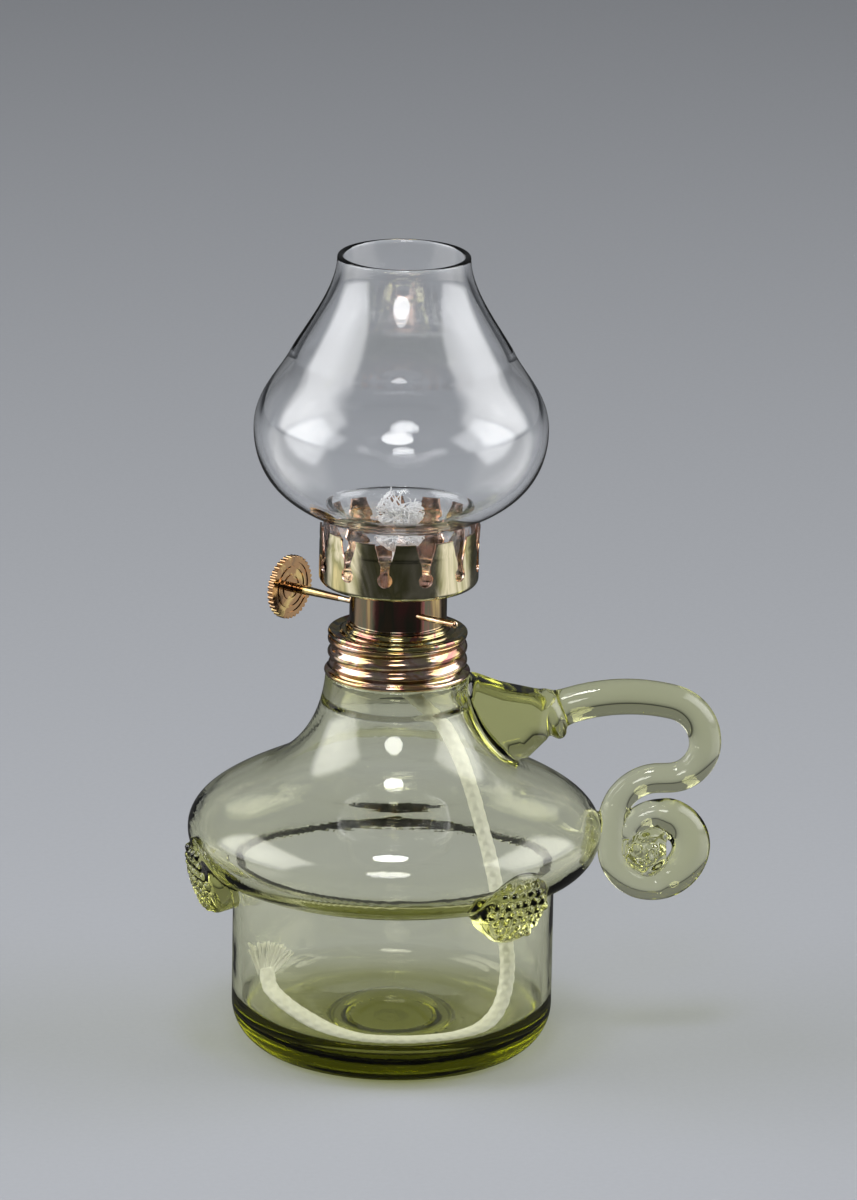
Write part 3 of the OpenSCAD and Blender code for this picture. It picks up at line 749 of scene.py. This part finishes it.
def make_deck():
    """The burner's rolled rim and dished deck, with the screw shell under it."""
    rim = 0.6
    rim_r = COLLAR_R - rim
    shell_r = COLLAR_BORE - 0.35
    outline = (
        [(TUBE_R + 0.02, DRUM_Z - SHEET_T), (DRUM_R + 0.4, DRUM_Z - SHEET_T), (shell_r - SHEET_T, DECK_Z)]
        + [(shell_r - SHEET_T, DECK_Z - 3.8), (shell_r, DECK_Z - 3.8), (shell_r, DECK_Z - 0.1)]
        + arc((rim_r, DECK_Z + rim), rim, rim, -110, 110, 18)
        + [(rim_r - 0.9, DECK_Z + 0.75), (DRUM_R + 1.6, DECK_Z + 0.9)]
        + arc((DRUM_R + 1.6, DRUM_Z - 0.6), 0.9, 0.6, -90, -180, 6)
        + [(DRUM_R + 0.55, DRUM_Z), (TUBE_R + 0.02, DRUM_Z)]
    )
    piece = lathe("burner_deck", outline, 192)
    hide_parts("burner_base")
    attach(piece, "burner")
    return piece


def make_drum():
    """The plain drum with a rolled foot and a lapped seam towards the front right."""
    seam = math.radians(-73)

    def lapped(points):
        a = np.arctan2(points[:, 1], points[:, 0])
        off = (a - seam) % (2 * math.pi)
        scale = 1 + 0.012 * np.clip(1 - off / math.radians(40), 0, 1) * (points[:, 2] > DRUM_Z + 0.7)
        return points * np.stack([scale, scale, np.ones(len(points))], 1)

    top = FLOOR_Z
    outline = (
        [(DRUM_R - SHEET_T, DRUM_Z), (DRUM_R - SHEET_T, top)]
        + [(DRUM_R, top)]
        + [(DRUM_R, z) for z in np.linspace(top - 0.3, DRUM_Z + 1.0, 12)]
        + arc((DRUM_R + 0.05, DRUM_Z + 0.3), 0.42, 0.3, 90, -90, 8)
    )
    piece = lathe("burner_drum", outline, 240, shape=lapped)
    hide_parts("drum")
    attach(piece, "burner")
    return piece


def slot_outline():
    """A keyhole slot, seen from outside, with its middle at 0 and heights in the lamp's own."""
    hole_r, neck, top = 1.55, 0.9, 2.15
    hole_z = SEAT_Z + 4.2
    low = math.degrees(math.asin(neck / hole_r))
    neck_top = hole_z + hole_r + 1.2
    return (
        arc((0, hole_z), hole_r, hole_r, 90 + low, 450 - low, 20)
        + [(neck, neck_top), (1.35, neck_top + 1.3), (top, PRONG_Z - 0.6), (top, PRONG_Z + 1)]
        + [(-top, PRONG_Z + 1), (-top, PRONG_Z - 0.6), (-1.35, neck_top + 1.3), (-neck, neck_top)]
    )


def make_gallery():
    """The cup whose keyhole slots part its wall into prongs, each bent a little on its own."""
    out_r = CUP_R + SHEET_T
    corner = 1.4
    groove = SEAT_Z + 8.8
    heights = [z for z in np.linspace(FLOOR_Z + corner + 0.4, PRONG_Z - 0.05, 22)]
    side = [(out_r - 0.14 * math.exp(-((z - groove) / 0.3) ** 2), z) for z in heights]
    inner = [(r - SHEET_T, z) for r, z in side][::-1]
    outline = (
        [(DRUM_R - SHEET_T, FLOOR_Z)]
        + arc((out_r - corner, FLOOR_Z + corner), corner, corner, -90, 0, 10)
        + side
        + [(out_r - SHEET_T / 2, PRONG_Z)]
        + inner
        + arc((out_r - corner, FLOOR_Z + corner), corner - SHEET_T, corner - SHEET_T, 0, -90, 8)
        + [(DRUM_R - SHEET_T, SEAT_Z)]
    )
    cup = lathe("gallery_cup", outline, 240)
    cutters = []
    shape = slot_outline()
    for k in range(PRONGS):
        a = SLOT_TURN + 2 * math.pi * k / PRONGS
        out = np.array((math.cos(a), math.sin(a), 0))
        across = np.array((-math.sin(a), math.cos(a), 0))
        rings = [
            [r * out + s * across + np.array((0, 0, z)) for s, z in shape]
            for r in (CUP_R - 2, out_r + 2)
        ]
        n = len(shape)
        faces = [tuple(range(n))[::-1], tuple(range(n, 2 * n))]
        faces += [(i, (i + 1) % n, n + (i + 1) % n, n + i) for i in range(n)]
        cutters.append(new_piece(f"slot_{k}", np.array(rings).reshape(-1, 3), faces, smooth=False))
    for k in range(20):
        a = 2 * math.pi * k / 20
        r = (DRUM_R + FITTER_R - CHIMNEY_WALL) / 2 + 0.2
        path = [(r * math.cos(a), r * math.sin(a), z) for z in (FLOOR_Z - 1, SEAT_Z + 1)]
        cutters.append(tube(f"hole_{k}", path, 0.75, 16))
    cutter = join(cutters, "cutter")
    cut = cup.modifiers.new("slots", "BOOLEAN")
    cut.operation = "DIFFERENCE"
    cut.solver = "EXACT"
    cut.use_self = False
    cut.object = cutter
    apply_modifiers(cup)
    bpy.data.objects.remove(cutter)
    bend_prongs(cup)
    soften = cup.modifiers.new("edges", "BEVEL")
    soften.width = 0.08 * MM
    soften.segments = 2
    soften.angle_limit = math.radians(40)
    apply_modifiers(cup)
    cup.data.shade_smooth()
    cup.data.set_sharp_from_angle(angle=math.radians(50))
    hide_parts("gallery")
    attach(cup, "burner")
    return cup


def line_gallery(lining):
    """Gives the faces that look inwards, and the cut edges, the gallery's inner colours."""
    mesh = bpy.data.objects["gallery_cup"].data
    mesh.materials.append(lining)
    for face in mesh.polygons:
        out = Vector((face.center.x, face.center.y, 0)).normalized()
        if face.normal.dot(out) < 0.5 and face.center.z > (FLOOR_Z + 0.7) * MM:
            face.material_index = 1


def bend_prongs(cup):
    """Leans each prong in or out by its own small amount."""
    rng = np.random.default_rng(SEED + 1)
    lean = rng.uniform(-0.25, 0.22, PRONGS)
    co = np.array([v.co for v in cup.data.vertices]) / MM
    a = np.arctan2(co[:, 1], co[:, 0])
    k = np.floor(((a - SLOT_TURN) % (2 * math.pi)) / (2 * math.pi / PRONGS)).astype(int) % PRONGS
    rise = np.clip((co[:, 2] - (SEAT_Z + 6.0)) / (PRONG_Z - SEAT_Z - 6.0), 0, 1) ** 1.6
    r = np.hypot(co[:, 0], co[:, 1])
    scale = 1 + lean[k] * rise / r
    for v, s in zip(cup.data.vertices, scale):
        v.co.x *= s
        v.co.y *= s


def make_shaft():
    """The wick shaft, stouter towards its thumb wheel, with a rounded tip."""
    way = np.array((math.cos(SHAFT_TURN), math.sin(SHAFT_TURN), 0))
    middle = np.array((math.sin(SHAFT_TURN), -math.cos(SHAFT_TURN), 0)) * SHAFT_OFFSET + np.array((0, 0, SHAFT_Z))
    places = np.concatenate([np.linspace(-WHEEL_REACH - 1.1, SHAFT_TIP - 0.6, 60), SHAFT_TIP + np.linspace(-0.5, 0.6, 9)])
    slim = np.interp(places, [-WHEEL_REACH - 1.1, -WHEEL_REACH - 0.9, -DRUM_R, DRUM_R, SHAFT_TIP], [0.5, 0.9, 0.62, 0.62, 0.72])
    tip = np.sqrt(np.clip(1 - ((places - SHAFT_TIP + 0.1) / 0.72).clip(0, None) ** 2, 0.02, 1))
    piece = tube("wick_shaft_rod", [middle + t * way for t in places], slim * tip, 32)
    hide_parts("wick_shaft")
    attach(piece, "knob")
    return piece


# Cotton


def braid(path, sides, lobes=8, depth=0.14):
    """Radius of a round braided cord: two sets of strands crossing each other."""
    length = np.concatenate([[0], np.cumsum(np.linalg.norm(np.diff(path, axis=0), axis=1))])

    def radius(i, a):
        s = length[i]
        one = np.cos(lobes * a / 2 + s * 2.6)
        two = np.cos(lobes * a / 2 - s * 2.6)
        return WICK_R - depth + depth * np.maximum(one, two) + 0.03 * np.sin(s * 7.1 + 3 * a)

    return radius


def strand(rng, start, way, length, droop, wander, points=9):
    """Points of one loose fibre that sets off from start along way."""
    way = np.array(way, float) / np.linalg.norm(way)
    p = np.array(start, float)
    out = [p.copy()]
    turn = rng.normal(0, wander, 3)
    for k in range(points - 1):
        way = way + turn * (k / points) + rng.normal(0, wander * 0.25, 3) + np.array((0, 0, -droop * k / points))
        way /= np.linalg.norm(way)
        p = p + way * length / (points - 1)
        out.append(p.copy())
    return out


def fibres(name, paths, radius):
    """Many thin fibres as one mesh."""
    points, faces = [], []
    sides = 4
    a = np.linspace(0, 2 * math.pi, sides, endpoint=False)
    for path in paths:
        path = np.asarray(path)
        _, u, v = frames_along(path)
        taper = np.linspace(1, 0.5, len(path))[:, None, None] * radius
        ring = np.cos(a)[None, :, None] * u[:, None] + np.sin(a)[None, :, None] * v[:, None]
        first = len(points)
        points.extend((path[:, None] + taper * ring).reshape(-1, 3))
        faces.extend(tuple(first + i for i in f) for f in grid_faces(len(path), sides))
        last = first + (len(path) - 1) * sides
        faces.append((first + 3, first + 2, first + 1, first))
        faces.append((last, last + 1, last + 2, last + 3))
    return new_piece(name, np.array(points), faces)


def make_wick():
    """The braided wick that slides in the tube."""
    path = np.array([(0, 0, z) for z in np.arange(WICK_LOW_Z, CROWN_Z + 0.8, 0.25)])
    piece = tube("wick_cord", path, braid(path, 32), 32)
    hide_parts("wick")
    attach(piece, "wick")
    return piece


def make_tuft():
    """The frayed crown: a matted ball of fibres, with loose ends that stand up to the left and hang below."""
    rng = np.random.default_rng(SEED + 2)
    paths = []
    mat_z = CROWN_Z + 4.6
    for _ in range(360):
        a = rng.uniform(0, 2 * math.pi)
        r = WICK_R * 0.85 * math.sqrt(rng.uniform(0, 1))
        lean = rng.uniform(0.2, 1.5)
        start = (r * math.cos(a), r * math.sin(a), CROWN_Z + rng.uniform(-0.5, 3.0))
        way = (lean * math.cos(a), lean * math.sin(a), 1)
        paths.append(strand(rng, start, way, rng.uniform(5.0, 9.0), 1.1, 0.34))
    for _ in range(46):
        start = (rng.normal(-0.6, 1.0), rng.normal(0, 1.0), mat_z + rng.uniform(-1, 2))
        way = (rng.normal(-0.75, 0.35), rng.normal(-0.1, 0.3), 1)
        paths.append(strand(rng, start, way, rng.uniform(5.0, 8.0), 0.1, 0.14))
    for _ in range(30):
        start = (rng.normal(1.2, 0.9), rng.normal(0, 0.9), mat_z + rng.uniform(-1, 1.5))
        way = (rng.normal(0.7, 0.3), rng.normal(-0.1, 0.3), 0.9)
        paths.append(strand(rng, start, way, rng.uniform(4.0, 6.0), 0.5, 0.25))
    for path in paths:
        for p in path:
            p[2] = min(max(p[2], CROWN_Z + 0.15), CROWN_Z + CROWN_H - 0.2)
            rise = min(1, (p[2] - CROWN_Z) / (0.85 * CROWN_H))
            widest = CROWN_R * (0.42 + 0.55 * math.sin(math.pi * rise) ** 0.7)
            over = min(1, widest * rng.uniform(0.9, 1.0) / max(math.hypot(p[0], p[1]), 1e-6))
            p[0] *= over
            p[1] *= over
    piece = fibres("wick_crown", paths, 0.21)
    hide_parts("wick_tuft")
    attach(piece, "wick")
    return piece


def make_tail():
    """The wick's free end, which hangs into the fount and lies round its floor."""
    path = smooth_path(TAIL_ROUTE, 0.4)
    piece = tube("wick_free_end", path, braid(path, 32), 32)
    rng = np.random.default_rng(SEED + 3)
    end = path[-1]
    side = np.cross(FRINGE_WAY, (0.2, -1, 0))
    side /= np.linalg.norm(side)
    paths = []
    for k in range(8):
        spread = (k - 3.5) / 3.5
        for _ in range(7):
            start = end + side * spread * 1.0 + rng.normal(0, 0.2, 3) - np.array(FRINGE_WAY) * 0.8
            way = np.array(FRINGE_WAY) + side * spread * 0.55 + rng.normal(0, 0.03, 3)
            paths.append(strand(rng, start, way, FRINGE_LENGTH + rng.uniform(-0.6, 0.6), 0, 0.05, 7))
    fringe = fibres("wick_fringe", paths, 0.36)
    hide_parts("wick_tail")
    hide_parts("tail_fringe")
    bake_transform(piece)
    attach(fringe, "fount")
    return piece, fringe


# Materials


class Nodes:
    """Short calls for building a material's nodes."""

    def __init__(self, name):
        self.material = bpy.data.materials.new(name)
        self.material.use_nodes = True
        self.tree = self.material.node_tree
        self.shader = self.tree.nodes["Principled BSDF"]
        self.output = self.tree.nodes["Material Output"]

    def add(self, kind, **values):
        """A node, with input values by name and settings that start with an underscore."""
        node = self.tree.nodes.new(kind)
        for key, value in values.items():
            if key.startswith("_"):
                setattr(node, key[1:], value)
            else:
                node.inputs[key.replace("_", " ")].default_value = value
        return node

    def link(self, source, target):
        self.tree.links.new(source, target)

    def place(self, scale=1.0):
        """Object coordinates in millimetres, times a scale."""
        coordinates = self.add("ShaderNodeTexCoord")
        mapping = self.add("ShaderNodeMapping")
        mapping.inputs["Scale"].default_value = (scale / MM,) * 3
        self.link(coordinates.outputs["Object"], mapping.inputs["Vector"])
        return mapping.outputs["Vector"]

    def noise(self, vector, scale, detail=3.0, roughness=0.5, distortion=0.0):
        node = self.add(
            "ShaderNodeTexNoise", Scale=scale, Detail=detail, Roughness=roughness, Distortion=distortion
        )
        self.link(vector, node.inputs["Vector"])
        return node.outputs["Fac"]

    def ramp(self, source, stops):
        """Colours along a 0 to 1 value."""
        node = self.add("ShaderNodeValToRGB")
        ramp = node.color_ramp
        while len(ramp.elements) < len(stops):
            ramp.elements.new(0.5)
        for element, (position, colour) in zip(ramp.elements, stops):
            element.position = position
            element.color = (*colour, 1)
        self.link(source, node.inputs["Fac"])
        return node.outputs["Color"]

    def spread(self, source, low, high, from_low=0.0, from_high=1.0):
        """A value moved from one range to another."""
        node = self.add("ShaderNodeMapRange")
        node.inputs["From Min"].default_value = from_low
        node.inputs["From Max"].default_value = from_high
        node.inputs["To Min"].default_value = low
        node.inputs["To Max"].default_value = high
        self.link(source, node.inputs["Value"])
        return node.outputs["Result"]

    def bump(self, height, distance, strength=1.0):
        """Bump of a height in millimetres, into the shader."""
        node = self.add("ShaderNodeBump", Distance=distance * MM, Strength=strength)
        self.link(height, node.inputs["Height"])
        self.link(node.outputs["Normal"], self.shader.inputs["Normal"])
        return node

    def set(self, **values):
        for key, value in values.items():
            self.shader.inputs[key.replace("_", " ")].default_value = value

    def mirrored_rays(self):
        """1 for rays that come off metal or the face of glass, 0 for those that come through glass."""
        path = self.add("ShaderNodeLightPath")
        node = self.add("ShaderNodeMath", _operation="SUBTRACT", _use_clamp=True)
        self.link(path.outputs["Is Glossy Ray"], node.inputs[0])
        self.link(path.outputs["Is Transmission Ray"], node.inputs[1])
        return node.outputs[0]

    def bent_rays(self):
        """1 for rays mirrored by metal or glass, PAINTED_GLOW_THROUGH_GLASS for those that only pass through glass."""
        path = self.add("ShaderNodeLightPath")
        unmirrored = self.add("ShaderNodeMath", _operation="LESS_THAN")
        self.link(path.outputs["Glossy Depth"], unmirrored.inputs[0])
        through = self.add("ShaderNodeMath", _operation="MULTIPLY")
        self.link(unmirrored.outputs[0], through.inputs[0])
        self.link(path.outputs["Is Transmission Ray"], through.inputs[1])
        either = self.add("ShaderNodeMath", _operation="MAXIMUM")
        self.link(path.outputs["Is Glossy Ray"], either.inputs[0])
        self.link(path.outputs["Is Transmission Ray"], either.inputs[1])
        node = self.add("ShaderNodeMath", _operation="MULTIPLY")
        self.link(either.outputs[0], node.inputs[0])
        self.link(self.spread(through.outputs[0], 1.0, PAINTED_GLOW_THROUGH_GLASS, 0.0, 1.0), node.inputs[1])
        return node.outputs[0]

    def lets_lamps_through(self, colour):
        """Lamp light passes this glass, tinted, and so lights what is inside and the floor behind it."""
        clear = self.add("ShaderNodeBsdfTransparent", Color=(*colour, 1))
        path = self.add("ShaderNodeLightPath")
        soft = self.add("ShaderNodeMath", _operation="MAXIMUM")
        self.link(path.outputs["Is Shadow Ray"], soft.inputs[0])
        self.link(path.outputs["Is Diffuse Ray"], soft.inputs[1])
        mix = self.add("ShaderNodeMixShader")
        self.link(soft.outputs[0], mix.inputs[0])
        self.link(self.shader.outputs["BSDF"], mix.inputs[1])
        self.link(clear.outputs["BSDF"], mix.inputs[2])
        self.link(mix.outputs["Shader"], self.output.inputs["Surface"])

    def absorbs(self, colour, density):
        """Colour that deepens with the way through the glass."""
        volume = self.add("ShaderNodeVolumeAbsorption", Color=(*colour, 1), Density=density)
        self.link(volume.outputs["Volume"], self.output.inputs["Volume"])


def green_glass_material():
    """Hand-blown olive green glass: wavy skin and a colour that deepens with thickness."""
    m = Nodes("green_glass")
    m.set(Base_Color=(1, 1, 1, 1), Roughness=0.0, IOR=1.5, Transmission_Weight=1.0)
    place = m.place()
    waves = m.noise(place, 0.055, 2.0, 0.4)
    m.bump(waves, 0.5, 0.35)
    m.lets_lamps_through((0.93, 0.93, 0.925))
    m.absorbs((0.735, 0.745, 0.14), 110)
    return m.material


def clear_glass_material():
    """Thin clear chimney glass with faint waves."""
    m = Nodes("clear_glass")
    m.set(Base_Color=(0.985, 0.99, 0.995, 1), Roughness=0.0, IOR=1.5, Transmission_Weight=1.0)
    place = m.place()
    waves = m.noise(place, 0.05, 2.0, 0.4)
    m.bump(waves, 0.3, 0.15)
    m.lets_lamps_through((0.97, 0.975, 0.98))
    return m.material


CREAM = (0.84, 0.78, 0.56)
GOLD = (0.60, 0.46, 0.20)
YELLOW = (0.76, 0.66, 0.34)
OLIVE = (0.36, 0.35, 0.17)
TEAL = (0.25, 0.30, 0.24)
ROSE = (0.82, 0.62, 0.54)
COPPER = (0.62, 0.36, 0.22)
WINE = (0.30, 0.12, 0.11)
BROWN = (0.20, 0.14, 0.09)
SMOKE = (0.13, 0.13, 0.09)
BRONZE = (0.34, 0.21, 0.11)


def plated_material(name, colours, patch, stretch=(1, 1, 1), rough=(0.06, 0.18)):
    """Yellow plating on pressed metal. Its film drifts between colours over patches about so many mm wide."""
    m = Nodes(name)
    place = m.place()
    pulled = m.add("ShaderNodeVectorMath", _operation="MULTIPLY")
    m.link(place, pulled.inputs[0])
    pulled.inputs[1].default_value = [s / patch for s in stretch]
    film = m.noise(pulled.outputs[0], 1.0, 3.0, 0.55, 0.7)
    first, last = 0.28, 0.72
    stops = [(first + (last - first) * k / (len(colours) - 1), colour) for k, colour in enumerate(colours)]
    m.link(m.ramp(film, stops), m.shader.inputs["Base Color"])
    m.set(Metallic=1.0)
    m.link(m.spread(m.noise(place, 1.4, 4.0, 0.6), *rough, 0.3, 0.7), m.shader.inputs["Roughness"])
    m.bump(m.noise(place, 0.9, 4.0, 0.6), 0.02, 0.5)
    return m.material


def brass_material():
    """Plain drawn brass, a little dulled."""
    m = Nodes("tube_brass")
    place = m.place()
    tint = m.ramp(m.noise(place, 0.5, 3.0), [(0.3, (0.62, 0.44, 0.20)), (0.7, (0.80, 0.62, 0.32))])
    m.link(tint, m.shader.inputs["Base Color"])
    m.set(Metallic=1.0)
    m.link(m.spread(m.noise(place, 2.0, 3.0), 0.22, 0.42), m.shader.inputs["Roughness"])
    m.bump(m.noise(place, 3.0, 3.0), 0.02, 0.4)
    return m.material


def cement_material():
    """Plaster between glass and collar."""
    m = Nodes("cement")
    place = m.place()
    tint = m.ramp(m.noise(place, 1.2, 5.0), [(0.3, (0.70, 0.67, 0.60)), (0.7, (0.86, 0.84, 0.78))])
    m.link(tint, m.shader.inputs["Base Color"])
    m.set(Roughness=0.9)
    m.bump(m.noise(place, 4.0, 4.0), 0.06, 0.6)
    return m.material


def cotton_material():
    """White cotton yarn."""
    m = Nodes("wick_cotton")
    place = m.place()
    tint = m.ramp(m.noise(place, 0.8, 4.0), [(0.3, (0.88, 0.88, 0.88)), (0.65, (0.95, 0.95, 0.96))])
    m.link(tint, m.shader.inputs["Base Color"])
    m.set(Roughness=0.9, Sheen_Weight=0.4, Sheen_Roughness=0.4)
    m.bump(m.noise(place, 5.0, 4.0, 0.65), 0.08, 0.7)
    return m.material


# Stage

FLOOR_COLOUR = (0.40, 0.415, 0.445)
# The floor's colour as metal mirrors it, painted near black: a painted dark reflection
FLOOR_PAINTED_DARK_IN_METAL = (0.03, 0.03, 0.03)
# The painted glow that metal and glass see on the floor: its colour, its strength, and its share seen straight through
# glass
PAINTED_GLOW_COLOUR = (1.0, 0.97, 0.92)
PAINTED_GLOW_LEVEL = 0.8
PAINTED_GLOW_THROUGH_GLASS = 0.15
WORLD_COLOUR = (0.58, 0.60, 0.63)
WORLD_LEVEL = (0.15, 0.38)


def make_floor():
    """A plain pale floor, wide enough for every view. Metal sees it painted near black, and metal and glass see a
    painted glow on it.
    """
    reach = 20000
    piece = new_piece("floor", [(-reach, -reach, 0), (reach, -reach, 0), (reach, reach, 0), (-reach, reach, 0)],
                      [(0, 1, 2, 3)], smooth=False)
    m = Nodes("floor")
    place = m.place(0.02)
    tint = m.ramp(m.noise(place, 40.0, 3.0), [
        (0.3, tuple(0.985 * c for c in FLOOR_COLOUR)), (0.7, tuple(1.015 * c for c in FLOOR_COLOUR)),
    ])
    m.set(Roughness=0.85, Emission_Color=(*PAINTED_GLOW_COLOUR, 1))
    # Rays mirrored by metal or the face of glass see the floor painted near black: a painted dark reflection
    mirrored = m.mirrored_rays()
    shade = m.add("ShaderNodeMix", _data_type="RGBA")
    m.link(mirrored, shade.inputs[0])
    m.link(tint, shade.inputs[6])
    shade.inputs[7].default_value = (*FLOOR_PAINTED_DARK_IN_METAL, 1)
    m.link(shade.outputs[2], m.shader.inputs["Base Color"])
    # The floor's emission is a painted glow, shown only to rays mirrored by metal or bent by glass
    glow = m.add("ShaderNodeMath", _operation="MULTIPLY")
    m.link(m.bent_rays(), glow.inputs[0])
    m.link(painted_box_glow(m), glow.inputs[1])
    m.link(glow.outputs[0], m.shader.inputs["Emission Strength"])
    m.material.cycles.emission_sampling = "NONE"
    piece.data.materials.append(m.material)


def painted_box_glow(m):
    """A painted glow on the table top, seen only by metal and glass: a bright wedge below either soft box, painted as
    a reflection of its light.
    """
    place = m.add("ShaderNodeTexCoord")
    turned = m.add("ShaderNodeVectorRotate", _rotation_type="Z_AXIS", Angle=-CAMERA_AZIMUTH)
    m.link(place.outputs["Object"], turned.inputs["Vector"])
    parts = m.add("ShaderNodeSeparateXYZ")
    m.link(turned.outputs[0], parts.inputs[0])
    side = m.add("ShaderNodeMath", _operation="ABSOLUTE")
    m.link(parts.outputs["X"], side.inputs[0])
    depth = m.add("ShaderNodeMath", _operation="ABSOLUTE")
    m.link(parts.outputs["Y"], depth.inputs[0])
    angle = m.add("ShaderNodeMath", _operation="ARCTAN2")
    m.link(depth.outputs[0], angle.inputs[0])
    m.link(side.outputs[0], angle.inputs[1])
    wedge = m.spread(angle.outputs[0], PAINTED_GLOW_LEVEL, 0.0, math.radians(24), math.radians(36))
    flat = m.add("ShaderNodeVectorMath", _operation="LENGTH")
    m.link(place.outputs["Object"], flat.inputs[0])
    beyond = m.spread(flat.outputs["Value"], 0.0, 1.0, 0.10, 0.20)
    seen = m.add("ShaderNodeMath", _operation="MULTIPLY")
    m.link(wedge, seen.inputs[0])
    m.link(beyond, seen.inputs[1])
    return seen.outputs[0]


def soft_box(name, azimuth, elevation, distance, size, power, edge=0.0, shape="RECTANGLE", spread=105):
    """A lamp with a fading edge that looks at the object. Azimuth is counted from the camera, to the right."""
    a = CAMERA_AZIMUTH + math.radians(azimuth)
    e = math.radians(elevation)
    way = Vector((math.sin(a) * math.cos(e), -math.cos(a) * math.cos(e), math.sin(e)))
    data = bpy.data.lights.new(name, "AREA")
    data.shape = shape
    data.size, data.size_y = size
    data.energy = power
    data.spread = math.radians(spread)
    if edge:
        fade_edges(data, edge)
    lamp = bpy.data.objects.new(name, data)
    lamp.location = AIM + way * distance
    lamp.rotation_mode = "QUATERNION"
    lamp.rotation_quaternion = way.to_track_quat("Z", "Y")
    bpy.context.scene.collection.objects.link(lamp)


def fade_edges(data, edge):
    """Makes a lamp's light fall off over a share of its width, as a cloth front does."""
    data.use_nodes = True
    tree = data.node_tree
    place = tree.nodes.new("ShaderNodeNewGeometry")
    parts = tree.nodes.new("ShaderNodeSeparateXYZ")
    tree.links.new(place.outputs["Parametric"], parts.inputs[0])
    product = None
    for axis in ("X", "Y"):
        fold = tree.nodes.new("ShaderNodeMath")
        fold.operation = "PINGPONG"
        fold.inputs[1].default_value = 0.5
        tree.links.new(parts.outputs[axis], fold.inputs[0])
        fade = tree.nodes.new("ShaderNodeMapRange")
        fade.interpolation_type = "SMOOTHSTEP"
        fade.inputs["From Max"].default_value = edge
        tree.links.new(fold.outputs[0], fade.inputs["Value"])
        if product is None:
            product = fade.outputs["Result"]
        else:
            both = tree.nodes.new("ShaderNodeMath")
            both.operation = "MULTIPLY"
            tree.links.new(product, both.inputs[0])
            tree.links.new(fade.outputs["Result"], both.inputs[1])
            product = both.outputs[0]
    tree.links.new(product, tree.nodes["Emission"].inputs["Strength"])


def make_lights():
    """A soft box on either side, a round one above the camera, a small lamp overhead and a pale surround."""
    world = bpy.data.worlds.new("world")
    world.use_nodes = True
    background = world.node_tree.nodes["Background"]
    background.inputs["Color"].default_value = (*WORLD_COLOUR, 1)
    path = world.node_tree.nodes.new("ShaderNodeLightPath")
    level = world.node_tree.nodes.new("ShaderNodeMapRange")
    level.inputs["To Min"].default_value, level.inputs["To Max"].default_value = WORLD_LEVEL
    world.node_tree.links.new(path.outputs["Is Transmission Ray"], level.inputs["Value"])
    world.node_tree.links.new(level.outputs["Result"], background.inputs["Strength"])
    bpy.context.scene.world = world
    soft_box("left_box", -88, 27, 1.65, (1.9, 1.5), 13.6, 0.14)
    soft_box("right_box", 94, 27, 1.65, (1.9, 1.5), 12.3, 0.14)
    soft_box("front_lamp", -3, 33, 0.9, (0.36, 0.28), 0.7, shape="ELLIPSE")
    soft_box("top_lamp", -6, 76, 0.9, (0.2, 0.2), 0.6, shape="ELLIPSE")


# Put together

view = bpy.context.scene.view_settings
view.view_transform = "Standard"

GREEN = green_glass_material()
CLEAR = clear_glass_material()
COLLAR_METAL = plated_material("collar_metal", (WINE, GOLD, COPPER, ROSE, YELLOW, WINE), 7, (1, 1, 1.6))
DECK_METAL = plated_material("deck_metal", (COPPER, WINE, OLIVE, GOLD, TEAL, WINE), 6)
DRUM_METAL = plated_material("drum_metal", (TEAL, GOLD, BROWN, SMOKE, WINE, BROWN, OLIVE), 7, (1, 1, 0.1))
CUP_METAL = plated_material("cup_metal", (CREAM, OLIVE, CREAM, OLIVE, YELLOW), 9, (1, 1, 0.5))
CUP_INSIDE = plated_material("cup_inside", (GOLD, COPPER, ROSE, COPPER, CREAM), 6)
WHEEL_METAL = plated_material("wheel_metal", (BROWN, BRONZE, BRONZE, GOLD, BRONZE), 6)
SHAFT_METAL = plated_material("shaft_metal", (ROSE, CREAM, COPPER, CREAM), 5)
BRASS = brass_material()
CEMENT = cement_material()
COTTON = cotton_material()

tail, fringe = make_tail()
PIECES = [
    (tail, COTTON), (fringe, COTTON), (make_wick(), COTTON), (make_tuft(), COTTON),
    (make_green_glass(), GREEN), (make_chimney(), CLEAR),
    (make_collar(), COLLAR_METAL), (make_deck(), DECK_METAL), (make_drum(), DRUM_METAL),
    (make_gallery(), CUP_METAL), (make_shaft(), SHAFT_METAL),
]
for piece, material in PIECES:
    piece.data.materials.clear()
    piece.data.materials.append(material)
line_gallery(CUP_INSIDE)

NODE_LOOKS = {
    "air_plate": CUP_INSIDE, "thumb_wheel": WHEEL_METAL,
    "wick_tube": BRASS, "feed_wheel": BRASS, "collar_cement": CEMENT,
}
for name, material in NODE_LOOKS.items():
    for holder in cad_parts[name].material_slots:
        holder.material = material

make_floor()
make_lights()
